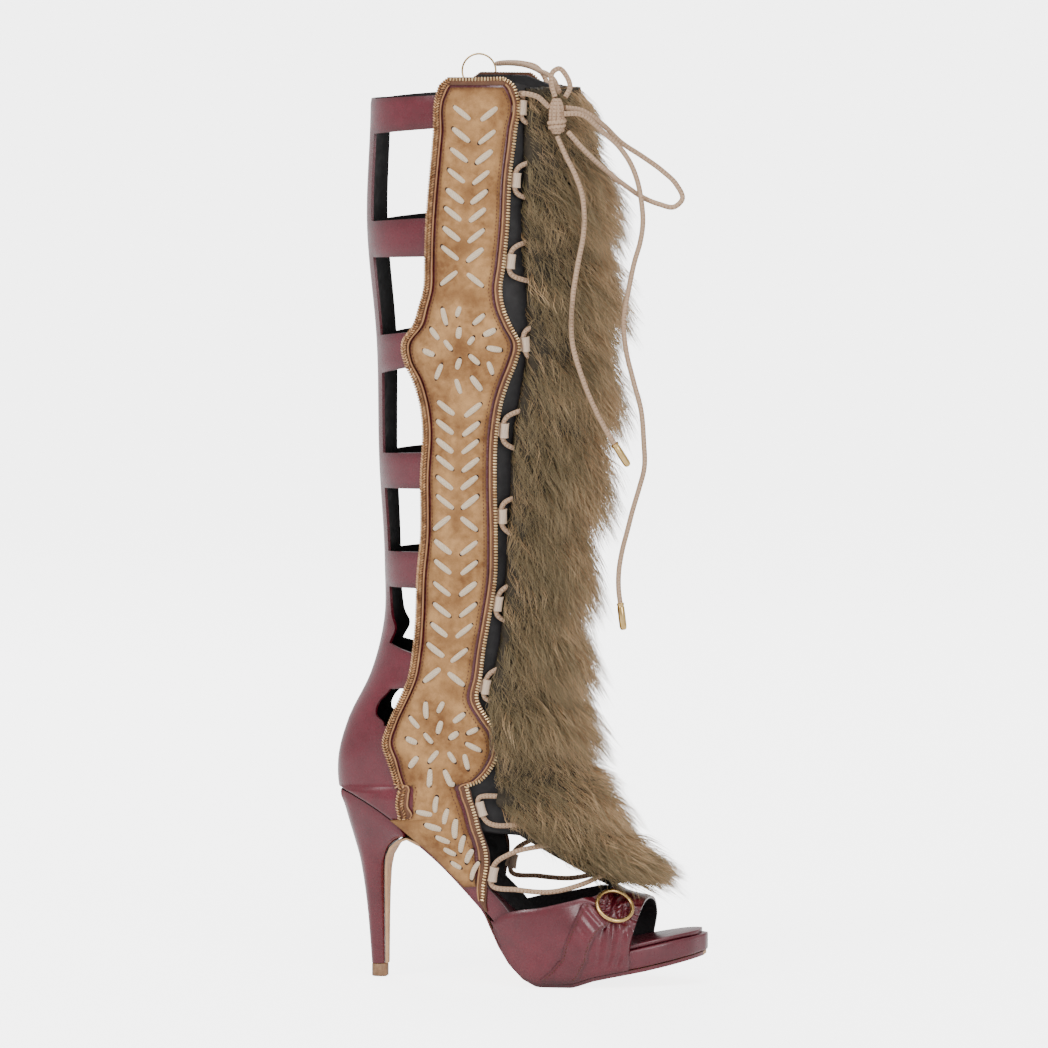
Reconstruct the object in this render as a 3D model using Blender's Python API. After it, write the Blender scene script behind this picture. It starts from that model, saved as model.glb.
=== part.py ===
"""Knee-high stiletto sandal, right shoe: a cage back, laced side panels and a fur tongue.

Metres, +Z up, +X to the toe, +Y to the inner (medial) side. The origin is on the floor under
the middle of the heel tip. Every wall is a sheet over one leg and foot form, which is worked
out from the named sizes and the share tables below.
"""
from typing import NamedTuple

import bmesh
import bpy
import numpy as np
from mathutils import Vector

# Driving sizes
SHOE_LENGTH = 0.231
SHAFT_HEIGHT = 0.562
SEAT_HEIGHT = 0.1195
PLATFORM_HEIGHT = 0.0168
CALF_WIDTH = 0.114
BALL_WIDTH = 0.080
HEEL_SETBACK = 0.025
GAP = 0.0003

# Walls and strips
UPPER_WALL = 0.0020
PANEL_WALL = 0.0016
TRIM_WIDTH = 0.0050
TRIM_WALL = 0.0024
TONGUE_WALL = 0.0018
VAMP_WALL = 0.0018
STRAP_WALL = 0.0014
STRAP_WIDTH = 0.0150
INSOLE_THICKNESS = 0.0027
INSOLE_INSET = 0.0044
OUTSOLE_THICKNESS = 0.0026
BREAST_FLAP = 0.0015
EDGE_ROUND = 0.0012
OVERLAY_GAP = 0.0004
PANEL_GAP = 0.0014
OUTSOLE_INSET = 0.0010
SEAT_GAP = 0.0006
WING_INSET = 0.0010
VAMP_EASE = 0.0026

# Heel
TIP_HEIGHT = 0.0080
TIP_LENGTH = 0.0100
TIP_WIDTH = 0.0100
TIP_RIM = 0.0004

# Lace
LACE_DIAMETER = 0.0032
KEEPER_WIDTH = 0.0056
KEEPER_HEIGHT = 0.0090
KEEPER_WALL = 0.0007
KEEPER_CLEARANCE = 0.0006
LACE_EASE = 0.06
LACE_STRAIGHT = 0.0022
LACE_LIFT = 0.0022
LACE_FOOT_LIFT = 0.0038
LACE_OVERPASS = 0.0037
LACE_SIDES = 6
AGLET_DIAMETER = 0.0046
AGLET_LENGTH = 0.0165

# Fur
FUR_LENGTH = 0.0300
FUR_EDGE = 0.0090
FUR_BASE = 0.0098
FUR_SWEEP = 0.0120

# Metal rings
RING_DIAMETER = 0.0250
RING_WIRE = 0.0026
PULL_RING_DIAMETER = 0.0225
PULL_RING_WIRE = 0.0012
PULL_SADDLE_LENGTH = 0.0032
PULL_SADDLE_HEIGHT = 0.0046
PULL_HOLE = 0.0022

LEG_HEIGHT = SHAFT_HEIGHT - SEAT_HEIGHT
HEEL_LIFT = SEAT_HEIGHT - PLATFORM_HEIGHT
TINY = 1e-9


class SoleRow(NamedTuple):
    """Top of the sole. along: share of SHOE_LENGTH from the heel's back; lift: share of
    HEEL_LIFT above PLATFORM_HEIGHT; lateral, medial: half widths as shares of BALL_WIDTH."""

    along: float
    lift: float
    lateral: float
    medial: float


SOLE_ROWS = (
    SoleRow(0.000, 1.000, 0.000, 0.000),
    SoleRow(0.013, 0.993, 0.150, 0.150),
    SoleRow(0.048, 0.966, 0.263, 0.263),
    SoleRow(0.108, 0.898, 0.338, 0.331),
    SoleRow(0.199, 0.757, 0.363, 0.338),
    SoleRow(0.294, 0.576, 0.344, 0.294),
    SoleRow(0.364, 0.421, 0.369, 0.300),
    SoleRow(0.429, 0.270, 0.413, 0.350),
    SoleRow(0.476, 0.160, 0.450, 0.400),
    SoleRow(0.520, 0.082, 0.475, 0.438),
    SoleRow(0.563, 0.034, 0.494, 0.469),
    SoleRow(0.620, 0.006, 0.500, 0.488),
    SoleRow(0.693, 0.016, 0.481, 0.500),
    SoleRow(0.780, 0.044, 0.431, 0.488),
    SoleRow(0.866, 0.086, 0.344, 0.438),
    SoleRow(0.931, 0.116, 0.238, 0.356),
    SoleRow(0.974, 0.130, 0.113, 0.256),
    SoleRow(1.000, 0.136, -0.050, 0.138),
)


class GroundRow(NamedTuple):
    """Underside of the outsole. along: share of SHOE_LENGTH; height: share of PLATFORM_HEIGHT."""

    along: float
    height: float


GROUND_ROWS = (
    GroundRow(0.420, 2.560),
    GroundRow(0.437, 2.060),
    GroundRow(0.459, 1.440),
    GroundRow(0.489, 0.800),
    GroundRow(0.528, 0.270),
    GroundRow(0.563, 0.030),
    GroundRow(0.576, 0.000),
    GroundRow(0.662, 0.000),
    GroundRow(0.675, 0.040),
    GroundRow(0.719, 0.240),
    GroundRow(0.762, 0.360),
    GroundRow(0.853, 0.590),
    GroundRow(0.913, 0.770),
    GroundRow(0.965, 0.940),
    GroundRow(1.000, 1.050),
)


class FormRow(NamedTuple):
    """Section of the leg and foot. rise: share of LEG_HEIGHT above the seat, or, below it, minus
    the share of SHOE_LENGTH where the section leaves the sole's edge. back, front: shares of
    SHOE_LENGTH from the heel's back; lift: height of the front point over the back one as a
    share of SEAT_HEIGHT; width: share of CALF_WIDTH; blunt: power of the section's bulge, 1 for
    an ellipse and less for a blunter back."""

    rise: float
    back: float
    front: float
    lift: float
    width: float
    blunt: float


FORM_ROWS = (
    FormRow(1.000, 0.089, 0.610, 0.000, 0.930, 1.00),
    FormRow(0.965, 0.090, 0.619, 0.000, 0.947, 1.00),
    FormRow(0.790, 0.080, 0.641, 0.000, 1.000, 1.00),
    FormRow(0.627, 0.106, 0.645, 0.000, 0.965, 1.00),
    FormRow(0.460, 0.112, 0.606, 0.000, 0.860, 1.00),
    FormRow(0.318, 0.126, 0.567, 0.000, 0.737, 1.00),
    FormRow(0.232, 0.123, 0.550, 0.015, 0.667, 1.00),
    FormRow(0.160, 0.087, 0.556, 0.065, 0.632, 1.00),
    FormRow(0.092, 0.024, 0.576, 0.095, 0.605, 0.90),
    FormRow(0.035, -0.003, 0.602, 0.100, 0.588, 0.82),
    FormRow(0.000, 0.000, 0.628, 0.088, 0.579, 0.80),
    FormRow(-0.108, 0.108, 0.658, 0.030, 0.579, 0.88),
    FormRow(-0.199, 0.199, 0.688, 0.015, 0.588, 1.00),
    FormRow(-0.294, 0.294, 0.723, 0.045, 0.596, 1.00),
    FormRow(-0.364, 0.364, 0.753, 0.095, 0.614, 1.00),
    FormRow(-0.429, 0.429, 0.784, 0.162, 0.632, 1.00),
    FormRow(-0.476, 0.476, 0.810, 0.205, 0.650, 1.00),
)


class PanelRow(NamedTuple):
    """Edges of the side panel. rise: as in FormRow; back, front: shares of the way around the
    leg from the middle of the back (0) to the middle of the front (1)."""

    rise: float
    back: float
    front: float


PANEL_ROWS = (
    PanelRow(1.000, 0.492, 0.668),
    PanelRow(0.990, 0.462, 0.702),
    PanelRow(0.975, 0.447, 0.714),
    PanelRow(0.920, 0.434, 0.697),
    PanelRow(0.865, 0.424, 0.677),
    PanelRow(0.790, 0.411, 0.664),
    PanelRow(0.740, 0.401, 0.648),
    PanelRow(0.705, 0.390, 0.634),
    PanelRow(0.680, 0.368, 0.640),
    PanelRow(0.655, 0.342, 0.662),
    PanelRow(0.630, 0.294, 0.690),
    PanelRow(0.605, 0.300, 0.680),
    PanelRow(0.580, 0.334, 0.660),
    PanelRow(0.550, 0.362, 0.642),
    PanelRow(0.520, 0.376, 0.635),
    PanelRow(0.440, 0.371, 0.641),
    PanelRow(0.360, 0.366, 0.660),
    PanelRow(0.300, 0.349, 0.669),
    PanelRow(0.245, 0.346, 0.656),
    PanelRow(0.195, 0.352, 0.640),
    PanelRow(0.150, 0.357, 0.632),
    PanelRow(0.115, 0.348, 0.625),
    PanelRow(0.085, 0.333, 0.658),
    PanelRow(0.060, 0.324, 0.686),
    PanelRow(0.035, 0.343, 0.679),
    PanelRow(0.012, 0.355, 0.636),
    PanelRow(-0.013, 0.352, 0.567),
    PanelRow(-0.056, 0.306, 0.536),
    PanelRow(-0.108, 0.235, 0.515),
    PanelRow(-0.150, 0.169, 0.494),
    PanelRow(-0.190, 0.000, 0.470),
    PanelRow(-0.230, 0.000, 0.448),
    PanelRow(-0.270, 0.000, 0.420),
    PanelRow(-0.314, 0.000, 0.367),
    PanelRow(-0.364, 0.000, 0.272),
    PanelRow(-0.395, 0.000, 0.195),
    PanelRow(-0.425, 0.000, 0.085),
)
TRIM_END_RISE = -0.156
PANEL_END_RISE = -0.364
PANEL_SPLITS = (1 / 3, 2 / 3)
ROW_SPACE = 0.004


class CageRow(NamedTuple):
    """Level of the cage. back, side: its rise at the spine and beside the panel; spine: edge of
    the spine; inner: hole's rear edge or the middle of a strap, as ways around; band: what lies
    below this level between spine and panel, one of the words in CAGE_BANDS."""

    back: float
    side: float
    spine: float
    inner: float
    band: str


CAGE_BANDS = {
    "wing": (False, False, False),
    "strap": (True, True, True),
    "open": (True, False, False),
    "hole": (True, True, False),
}
CAGE_ROWS = (
    CageRow(0.985, 0.997, 0.137, 0.285, "wing"),
    CageRow(0.967, 0.975, 0.137, 0.285, "strap"),
    CageRow(0.918, 0.929, 0.137, 0.280, "open"),
    CageRow(0.857, 0.867, 0.137, 0.275, "open"),
    CageRow(0.796, 0.805, 0.137, 0.270, "strap"),
    CageRow(0.746, 0.751, 0.137, 0.265, "open"),
    CageRow(0.700, 0.705, 0.137, 0.255, "open"),
    CageRow(0.668, 0.675, 0.137, 0.245, "open"),
    CageRow(0.637, 0.645, 0.137, 0.230, "strap"),
    CageRow(0.612, 0.620, 0.137, 0.215, "strap"),
    CageRow(0.584, 0.596, 0.137, 0.220, "open"),
    CageRow(0.556, 0.565, 0.137, 0.230, "open"),
    CageRow(0.522, 0.530, 0.137, 0.240, "open"),
    CageRow(0.472, 0.477, 0.137, 0.250, "strap"),
    CageRow(0.423, 0.426, 0.137, 0.250, "open"),
    CageRow(0.378, 0.382, 0.137, 0.250, "open"),
    CageRow(0.334, 0.337, 0.137, 0.245, "strap"),
    CageRow(0.284, 0.285, 0.140, 0.240, "open"),
    CageRow(0.248, 0.240, 0.166, 0.250, "open"),
    CageRow(0.226, 0.214, 0.215, 0.280, "open"),
    CageRow(0.205, 0.189, 0.190, 0.280, "strap"),
    CageRow(0.165, 0.160, 0.150, 0.270, "strap"),
    CageRow(0.139, 0.138, 0.140, 0.283, "hole"),
    CageRow(0.121, 0.119, 0.130, 0.252, "hole"),
    CageRow(0.103, 0.101, 0.130, 0.262, "hole"),
    CageRow(0.086, 0.084, 0.130, 0.312, "strap"),
    CageRow(0.060, 0.060, 0.120, 0.230, "strap"),
    CageRow(0.036, 0.036, 0.120, 0.230, "strap"),
    CageRow(0.012, 0.012, 0.120, 0.230, "strap"),
)


class FootRow(NamedTuple):
    """Level of the closed upper below the cage. rise: as in FormRow; front: its front edge as a
    way around."""

    rise: float
    front: float


FOOT_ROWS = (
    FootRow(0.000, 0.590),
    FootRow(-0.048, 0.530),
    FootRow(-0.108, 0.506),
    FootRow(-0.156, 0.482),
    FootRow(-0.199, 0.456),
    FootRow(-0.250, 0.424),
    FootRow(-0.294, 0.386),
    FootRow(-0.330, 0.328),
    FootRow(-0.364, 0.262),
    FootRow(-0.395, 0.258),
    FootRow(-0.425, 0.255),
    FootRow(-0.470, 0.235),
)
HEEL_SPLITS = (0.35, 0.70)


class TongueRow(NamedTuple):
    """Free edge of the tongue below the ankle, where it leaves the wings, as a way around."""

    rise: float
    edge: float


TONGUE_ROWS = (
    TongueRow(-0.199, 0.580),
    TongueRow(-0.250, 0.630),
    TongueRow(-0.294, 0.680),
    TongueRow(-0.330, 0.730),
    TongueRow(-0.364, 0.775),
    TongueRow(-0.395, 0.810),
    TongueRow(-0.425, 0.850),
)
TONGUE_COLUMNS = 4
TONGUE_DIP = 0.020

KEEPER_RISES = (0.957, 0.857, 0.745, 0.630, 0.510, 0.390, 0.265, 0.133, 0.030, -0.120, -0.335)
LACE_STEPS = (0.18, 0.34, 0.5, 0.66, 0.82)


class BarStation(NamedTuple):
    """Point of the lowest lace bar. offset: from the front's middle, positive on the inner
    side, as a way around; fall: below the last keeper, as a rise; lift: over the form."""

    offset: float
    fall: float
    lift: float


BAR_STATIONS = (
    BarStation(0.60, 0.050, 0.0012),
    BarStation(0.48, 0.072, 0.0012),
    BarStation(0.34, 0.070, 0.0012),
    BarStation(0.20, 0.052, 0.0012),
    BarStation(0.07, 0.040, 0.0012),
    BarStation(-0.07, 0.040, 0.0012),
    BarStation(-0.20, 0.052, 0.0012),
    BarStation(-0.34, 0.070, 0.0012),
    BarStation(-0.48, 0.072, 0.0012),
    BarStation(-0.60, 0.050, 0.0012),
)


class FurRow(NamedTuple):
    """Fur over the tongue. rise: as in FormRow; edge: its edge as a way around; length: share of
    FUR_LENGTH."""

    rise: float
    edge: float
    length: float


FUR_ROWS = (
    FurRow(0.985, 0.800, 0.50),
    FurRow(0.930, 0.780, 0.72),
    FurRow(0.870, 0.770, 0.95),
    FurRow(0.800, 0.760, 0.98),
    FurRow(0.630, 0.765, 1.02),
    FurRow(0.500, 0.740, 1.12),
    FurRow(0.400, 0.750, 1.05),
    FurRow(0.265, 0.760, 1.08),
    FurRow(0.133, 0.745, 1.00),
    FurRow(0.030, 0.770, 0.85),
    FurRow(-0.120, 0.700, 0.95),
    FurRow(-0.250, 0.720, 1.00),
    FurRow(-0.330, 0.780, 1.00),
    FurRow(-0.425, 0.860, 0.95),
)
FUR_TIERS = 38
FUR_COLUMNS = 10


class VampRow(NamedTuple):
    """Ray of the vamp from its outer skirt (-1) over the top (0) to its inner skirt (1). back,
    front: its ends as shares of SHOE_LENGTH."""

    ray: float
    back: float
    front: float


VAMP_ROWS = (
    VampRow(-1.00, 0.478, 0.812),
    VampRow(-0.88, 0.462, 0.814),
    VampRow(-0.76, 0.452, 0.816),
    VampRow(-0.70, 0.510, 0.819),
    VampRow(-0.64, 0.580, 0.822),
    VampRow(-0.56, 0.648, 0.827),
    VampRow(-0.46, 0.698, 0.832),
    VampRow(-0.33, 0.730, 0.837),
    VampRow(-0.17, 0.745, 0.840),
    VampRow(0.00, 0.748, 0.842),
    VampRow(0.17, 0.745, 0.844),
    VampRow(0.33, 0.730, 0.845),
    VampRow(0.46, 0.698, 0.844),
    VampRow(0.56, 0.648, 0.842),
    VampRow(0.64, 0.580, 0.838),
    VampRow(0.70, 0.510, 0.834),
    VampRow(0.76, 0.452, 0.830),
    VampRow(0.88, 0.462, 0.826),
    VampRow(1.00, 0.478, 0.822),
)
VAMP_COLUMNS = 6
SKIRT_RAY = 0.76


class ArchRow(NamedTuple):
    """Top of the vamp's arch. along: share of SHOE_LENGTH; height: share of SEAT_HEIGHT above
    the sole's top; ease: share of VAMP_EASE that clears the upper under it."""

    along: float
    height: float
    ease: float


ARCH_ROWS = (
    ArchRow(0.440, 0.980, 1.00),
    ArchRow(0.541, 0.860, 1.00),
    ArchRow(0.628, 0.670, 0.45),
    ArchRow(0.693, 0.490, 0.10),
    ArchRow(0.750, 0.327, 0.00),
    ArchRow(0.800, 0.262, 0.00),
    ArchRow(0.850, 0.218, 0.00),
)


class StrapStation(NamedTuple):
    """Middle of the vamp's diagonal strap. ray: as in VampRow; along: share of SHOE_LENGTH;
    width: share of STRAP_WIDTH."""

    ray: float
    along: float
    width: float


STRAP_STATIONS = (
    StrapStation(-0.97, 0.628, 1.10),
    StrapStation(-0.88, 0.648, 1.05),
    StrapStation(-0.76, 0.670, 1.00),
    StrapStation(-0.70, 0.684, 0.92),
    StrapStation(-0.64, 0.699, 0.82),
    StrapStation(-0.56, 0.721, 0.72),
    StrapStation(-0.50, 0.738, 0.62),
)
RING_RAY = -0.40
RING_ALONG = 0.765


class HeelRow(NamedTuple):
    """Section of the heel. back, front: shares of SHOE_LENGTH from the heel's back; back_height,
    front_height: shares of SEAT_HEIGHT; width: half width as a share of BALL_WIDTH; seat: share
    of the seat's outline against the stem's."""

    back: float
    back_height: float
    front: float
    front_height: float
    width: float
    seat: float


HEEL_ROWS = (
    HeelRow(0.012, 0.972, 0.199, 0.757, 0.338, 1.0),
    HeelRow(0.020, 0.904, 0.170, 0.736, 0.300, 0.8),
    HeelRow(0.030, 0.820, 0.145, 0.695, 0.250, 0.6),
    HeelRow(0.043, 0.720, 0.130, 0.636, 0.194, 0.3),
    HeelRow(0.056, 0.619, 0.125, 0.569, 0.156, 0.1),
    HeelRow(0.067, 0.485, 0.1235, 0.460, 0.119, 0.0),
    HeelRow(0.076, 0.335, 0.1230, 0.326, 0.088, 0.0),
    HeelRow(0.083, 0.167, 0.1228, 0.167, 0.069, 0.0),
    HeelRow(0.0865, 0.0695, 0.1225, 0.0695, 0.0625, 0.0),
)
HEEL_SIDE_SHARES = (0.0, 0.06, 0.19, 0.51, 0.76, 0.97)
HEEL_FRONT_STEPS = (0.5, 0.0, -0.5)
HEEL_STEM_TURN = 0.86
HEEL_LIP = 0.0035
BREAST_START = 0.212
FLAP_SHARE = 0.94

# Knot, ties and free ends: points in metres, chosen by hand where the lace lies
KNOT_CENTRE = (0.1195, -0.0450, 0.5385)
KNOT_RADII = (0.0046, 0.0046, 0.0115)
OUTER_TIE = (
    (0.0985, -0.0505, 0.5525),
    (0.1040, -0.0515, 0.5525),
    (0.1105, -0.0500, 0.5490),
    (0.1149, -0.0467, 0.5442),
)
INNER_TIE = (
    (0.1200, -0.0385, 0.5530),
    (0.1150, -0.0315, 0.5610),
    (0.1050, -0.0190, 0.5650),
    (0.0950, 0.0000, 0.5675),
    (0.0840, 0.0180, 0.5685),
    (0.0740, 0.0310, 0.5685),
    (0.0675, 0.0380, 0.5680),
    (0.0720, 0.0455, 0.5685),
    (0.0820, 0.0485, 0.5680),
    (0.0915, 0.0485, 0.5650),
    (0.0965, 0.0480, 0.5580),
)
SMALL_LOOP = (
    (0.1185, -0.0450, 0.5502),
    (0.1160, -0.0430, 0.5580),
    (0.1165, -0.0410, 0.5655),
    (0.1200, -0.0395, 0.5675),
    (0.1245, -0.0390, 0.5630),
    (0.1270, -0.0400, 0.5560),
    (0.1245, -0.0430, 0.5500),
)
LARGE_LOOP = (
    (0.1244, -0.0432, 0.5436),
    (0.1330, -0.0360, 0.5420),
    (0.1450, -0.0270, 0.5330),
    (0.1560, -0.0210, 0.5215),
    (0.1685, -0.0180, 0.5130),
    (0.1810, -0.0170, 0.5040),
    (0.1895, -0.0180, 0.4960),
    (0.1935, -0.0200, 0.4870),
    (0.1890, -0.0220, 0.4825),
    (0.1795, -0.0215, 0.4840),
    (0.1690, -0.0200, 0.4880),
    (0.1590, -0.0230, 0.4950),
    (0.1470, -0.0330, 0.5060),
    (0.1360, -0.0430, 0.5180),
    (0.1265, -0.0455, 0.5290),
)
SHORT_END = (
    (0.1198, -0.0450, 0.5262),
    (0.1250, -0.0460, 0.5150),
    (0.1310, -0.0460, 0.5030),
    (0.1355, -0.0460, 0.4900),
    (0.1370, -0.0470, 0.4770),
    (0.1365, -0.0490, 0.4640),
    (0.1340, -0.0505, 0.4500),
    (0.1305, -0.0515, 0.4260),
    (0.1300, -0.0500, 0.4010),
    (0.1355, -0.0470, 0.3790),
    (0.1425, -0.0430, 0.3600),
    (0.1500, -0.0380, 0.3440),
    (0.1540, -0.0355, 0.3370),
)
LONG_END = (
    (0.1245, -0.0480, 0.5400),
    (0.1330, -0.0450, 0.5400),
    (0.1460, -0.0350, 0.5290),
    (0.1560, -0.0290, 0.5190),
    (0.1625, -0.0270, 0.5090),
    (0.1665, -0.0260, 0.4985),
    (0.1690, -0.0260, 0.4860),
    (0.1700, -0.0260, 0.4730),
    (0.1680, -0.0250, 0.4600),
    (0.1650, -0.0250, 0.4500),
    (0.1610, -0.0255, 0.4310),
    (0.1580, -0.0260, 0.4120),
    (0.1595, -0.0255, 0.3940),
    (0.1640, -0.0245, 0.3750),
    (0.1685, -0.0230, 0.3570),
    (0.1700, -0.0220, 0.3385),
    (0.1700, -0.0200, 0.3210),
    (0.1665, -0.0190, 0.3080),
    (0.1625, -0.0180, 0.2950),
    (0.1590, -0.0170, 0.2820),
    (0.1555, -0.0160, 0.2690),
    (0.1535, -0.0160, 0.2560),
    (0.1535, -0.0160, 0.2450),
    (0.1545, -0.0160, 0.2370),
)
CORD_STEP = 3.0
CORD_SAMPLES = 24

# Slider and ring of the inner side's zip
PULL_AROUND = 0.478
PULL_RISE = 0.9770
PULL_EASE = 0.0003


class Finish(NamedTuple):
    """Colour and surface of one material."""

    name: str
    colour: tuple
    roughness: float
    metallic: float


BURGUNDY = Finish("burgundy_leather", (0.17, 0.022, 0.035, 1.0), 0.32, 0.0)
SUEDE = Finish("tan_suede", (0.56, 0.31, 0.14, 1.0), 0.9, 0.0)
BRASS = Finish("brass", (0.78, 0.60, 0.32, 1.0), 0.25, 1.0)
BLACK = Finish("black_lining", (0.012, 0.011, 0.012, 1.0), 0.7, 0.0)
FUR = Finish("brown_fur", (0.27, 0.19, 0.10, 1.0), 0.95, 0.0)
LACE = Finish("beige_lace", (0.52, 0.36, 0.25, 1.0), 0.7, 0.0)
LEATHER_SOLE = Finish("tan_sole", (0.72, 0.48, 0.26, 1.0), 0.55, 0.0)


def clear_scene() -> None:
    """Remove every object that the scene holds."""
    for existing in list(bpy.data.objects):
        bpy.data.objects.remove(existing, do_unlink=True)


def material_of(finish: Finish) -> bpy.types.Material:
    """Return the Principled material of a finish, made once."""
    known = bpy.data.materials.get(finish.name)
    if known:
        return known
    made = bpy.data.materials.new(finish.name)
    made.use_nodes = True
    shader = made.node_tree.nodes["Principled BSDF"]
    shader.inputs["Base Color"].default_value = finish.colour
    shader.inputs["Roughness"].default_value = finish.roughness
    shader.inputs["Metallic"].default_value = finish.metallic
    made.diffuse_color = finish.colour
    return made


def smooth(key: np.ndarray, rows: tuple, column: str) -> np.ndarray:
    """Read a column of a table at the key, with a smooth curve through its rows."""
    keys = np.array([row[0] for row in rows], float)
    values = np.array([getattr(row, column) for row in rows], float)
    if keys[0] > keys[-1]:
        keys, values = keys[::-1], values[::-1]
    held = np.clip(key, keys[0], keys[-1])
    slopes = np.gradient(values, keys)
    index = np.clip(np.searchsorted(keys, held) - 1, 0, len(keys) - 2)
    span = keys[index + 1] - keys[index]
    t = (held - keys[index]) / span
    start = (2 * t**3 - 3 * t**2 + 1) * values[index] + (t**3 - 2 * t**2 + t) * span * slopes[index]
    end = (3 * t**2 - 2 * t**3) * values[index + 1] + (t**3 - t**2) * span * slopes[index + 1]
    return start + end


def straight(key: np.ndarray, rows: tuple, column: str) -> np.ndarray:
    """Read a column of a table at the key, with straight lines between its rows."""
    ordered = sorted(rows, key=lambda row: row[0])
    return np.interp(key, [row[0] for row in ordered], [getattr(row, column) for row in ordered])


def x_of(along: np.ndarray) -> np.ndarray:
    """X of a share of the shoe's length."""
    return np.asarray(along, float) * SHOE_LENGTH - HEEL_SETBACK


def sole_top(along: np.ndarray) -> np.ndarray:
    """Height of the sole's top, where upper and insole are seated."""
    return PLATFORM_HEIGHT + HEEL_LIFT * smooth(along, SOLE_ROWS, "lift")


def sole_bottom(along: np.ndarray) -> np.ndarray:
    """Height of the outsole's underside."""
    under_arch = sole_top(along) - OUTSOLE_THICKNESS
    ground = PLATFORM_HEIGHT * straight(along, GROUND_ROWS, "height")
    in_front = np.asarray(along) >= GROUND_ROWS[0].along
    return np.where(in_front, np.minimum(ground, under_arch), under_arch)


def form(rise: np.ndarray, around: np.ndarray) -> np.ndarray:
    """Point of the outer leg and foot surface.

    around runs from -1 (front, outer side) through 0 (back) to 1 (front, inner side).
    """
    rise, around = np.broadcast_arrays(np.asarray(rise, float), np.asarray(around, float))
    leg = rise >= 0
    back = np.where(leg, smooth(rise, FORM_ROWS, "back"), -rise)
    back_height = np.where(leg, SEAT_HEIGHT + rise * LEG_HEIGHT, sole_top(back)) + GAP
    back_x = x_of(back)
    front_x = x_of(smooth(rise, FORM_ROWS, "front"))
    lift = SEAT_HEIGHT * smooth(rise, FORM_ROWS, "lift")
    half = CALF_WIDTH / 2 * smooth(rise, FORM_ROWS, "width")
    outer = smooth(back, SOLE_ROWS, "lateral")
    inner = smooth(back, SOLE_ROWS, "medial")
    edge = BALL_WIDTH * np.where(leg, 0.0, np.maximum(np.where(around < 0, outer, inner), 0.0))
    angle = np.pi * np.abs(around)
    share = (1 - np.cos(angle)) / 2
    power = 2 * smooth(rise, FORM_ROWS, "blunt")
    bulge = np.maximum(half**2 - edge**2 / 4, 0.0) * np.maximum(np.sin(angle), 0.0) ** power
    y = np.sqrt(edge**2 * (1 - share) ** 2 + bulge) * np.where(around < 0, -1.0, 1.0)
    return np.stack([back_x + (front_x - back_x) * share, y, back_height + lift * share], -1)


def form_normal(rise: np.ndarray, around: np.ndarray) -> np.ndarray:
    """Outward unit normal of the form."""
    rise, around = np.broadcast_arrays(np.asarray(rise, float), np.asarray(around, float))
    side = np.where(around < 0, -1.0, 1.0)
    far = side * np.clip(np.abs(around) + 1e-3, TINY, 1.0)
    near = side * np.clip(np.abs(around) - 1e-3, TINY, 1.0)
    along_around = (form(rise, far) - form(rise, near)) * side[..., None]
    along_rise = form(rise + 2e-3, around) - form(rise - 2e-3, around)
    normal = np.cross(along_rise, along_around)
    on_edge = (rise < 0) & (np.abs(around) < 1e-6)
    normal[..., 2] = np.where(on_edge, 0.0, normal[..., 2])
    length = np.linalg.norm(normal, axis=-1, keepdims=True)
    return normal / np.maximum(length, TINY**2)


def on_form(rise: np.ndarray, around: np.ndarray, height: np.ndarray) -> np.ndarray:
    """Point at a height over the form."""
    return form(rise, around) + form_normal(rise, around) * np.asarray(height)[..., None]


def step_around(rise: float, around: float, distance: float) -> float:
    """Way around after moving a distance along the surface, for the outer side's sign."""
    ahead = form(rise, -min(abs(around) + 5e-3, 1.0))
    behind = form(rise, -max(abs(around) - 5e-3, TINY))
    speed = np.linalg.norm(ahead - behind) / (min(abs(around) + 5e-3, 1.0) - max(abs(around) - 5e-3, 0))
    return around + distance / speed


def mesh_object(name: str, vertices: np.ndarray, faces: list, finish: Finish) -> bpy.types.Object:
    """Make one named object with faces turned out and round parts shaded smooth."""
    mesh = bpy.data.meshes.new(name)
    mesh.from_pydata([tuple(point) for point in vertices], [], faces)
    work = bmesh.new()
    work.from_mesh(mesh)
    bmesh.ops.remove_doubles(work, verts=work.verts, dist=1e-7)
    if work.calc_volume(signed=True) < 0:
        bmesh.ops.reverse_faces(work, faces=work.faces)
    work.to_mesh(mesh)
    work.free()
    mesh.shade_smooth()
    mesh.set_sharp_from_angle(angle=np.radians(40.0))
    mesh.materials.append(material_of(finish))
    made = bpy.data.objects.new(name, mesh)
    bpy.context.scene.collection.objects.link(made)
    return made


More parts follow.
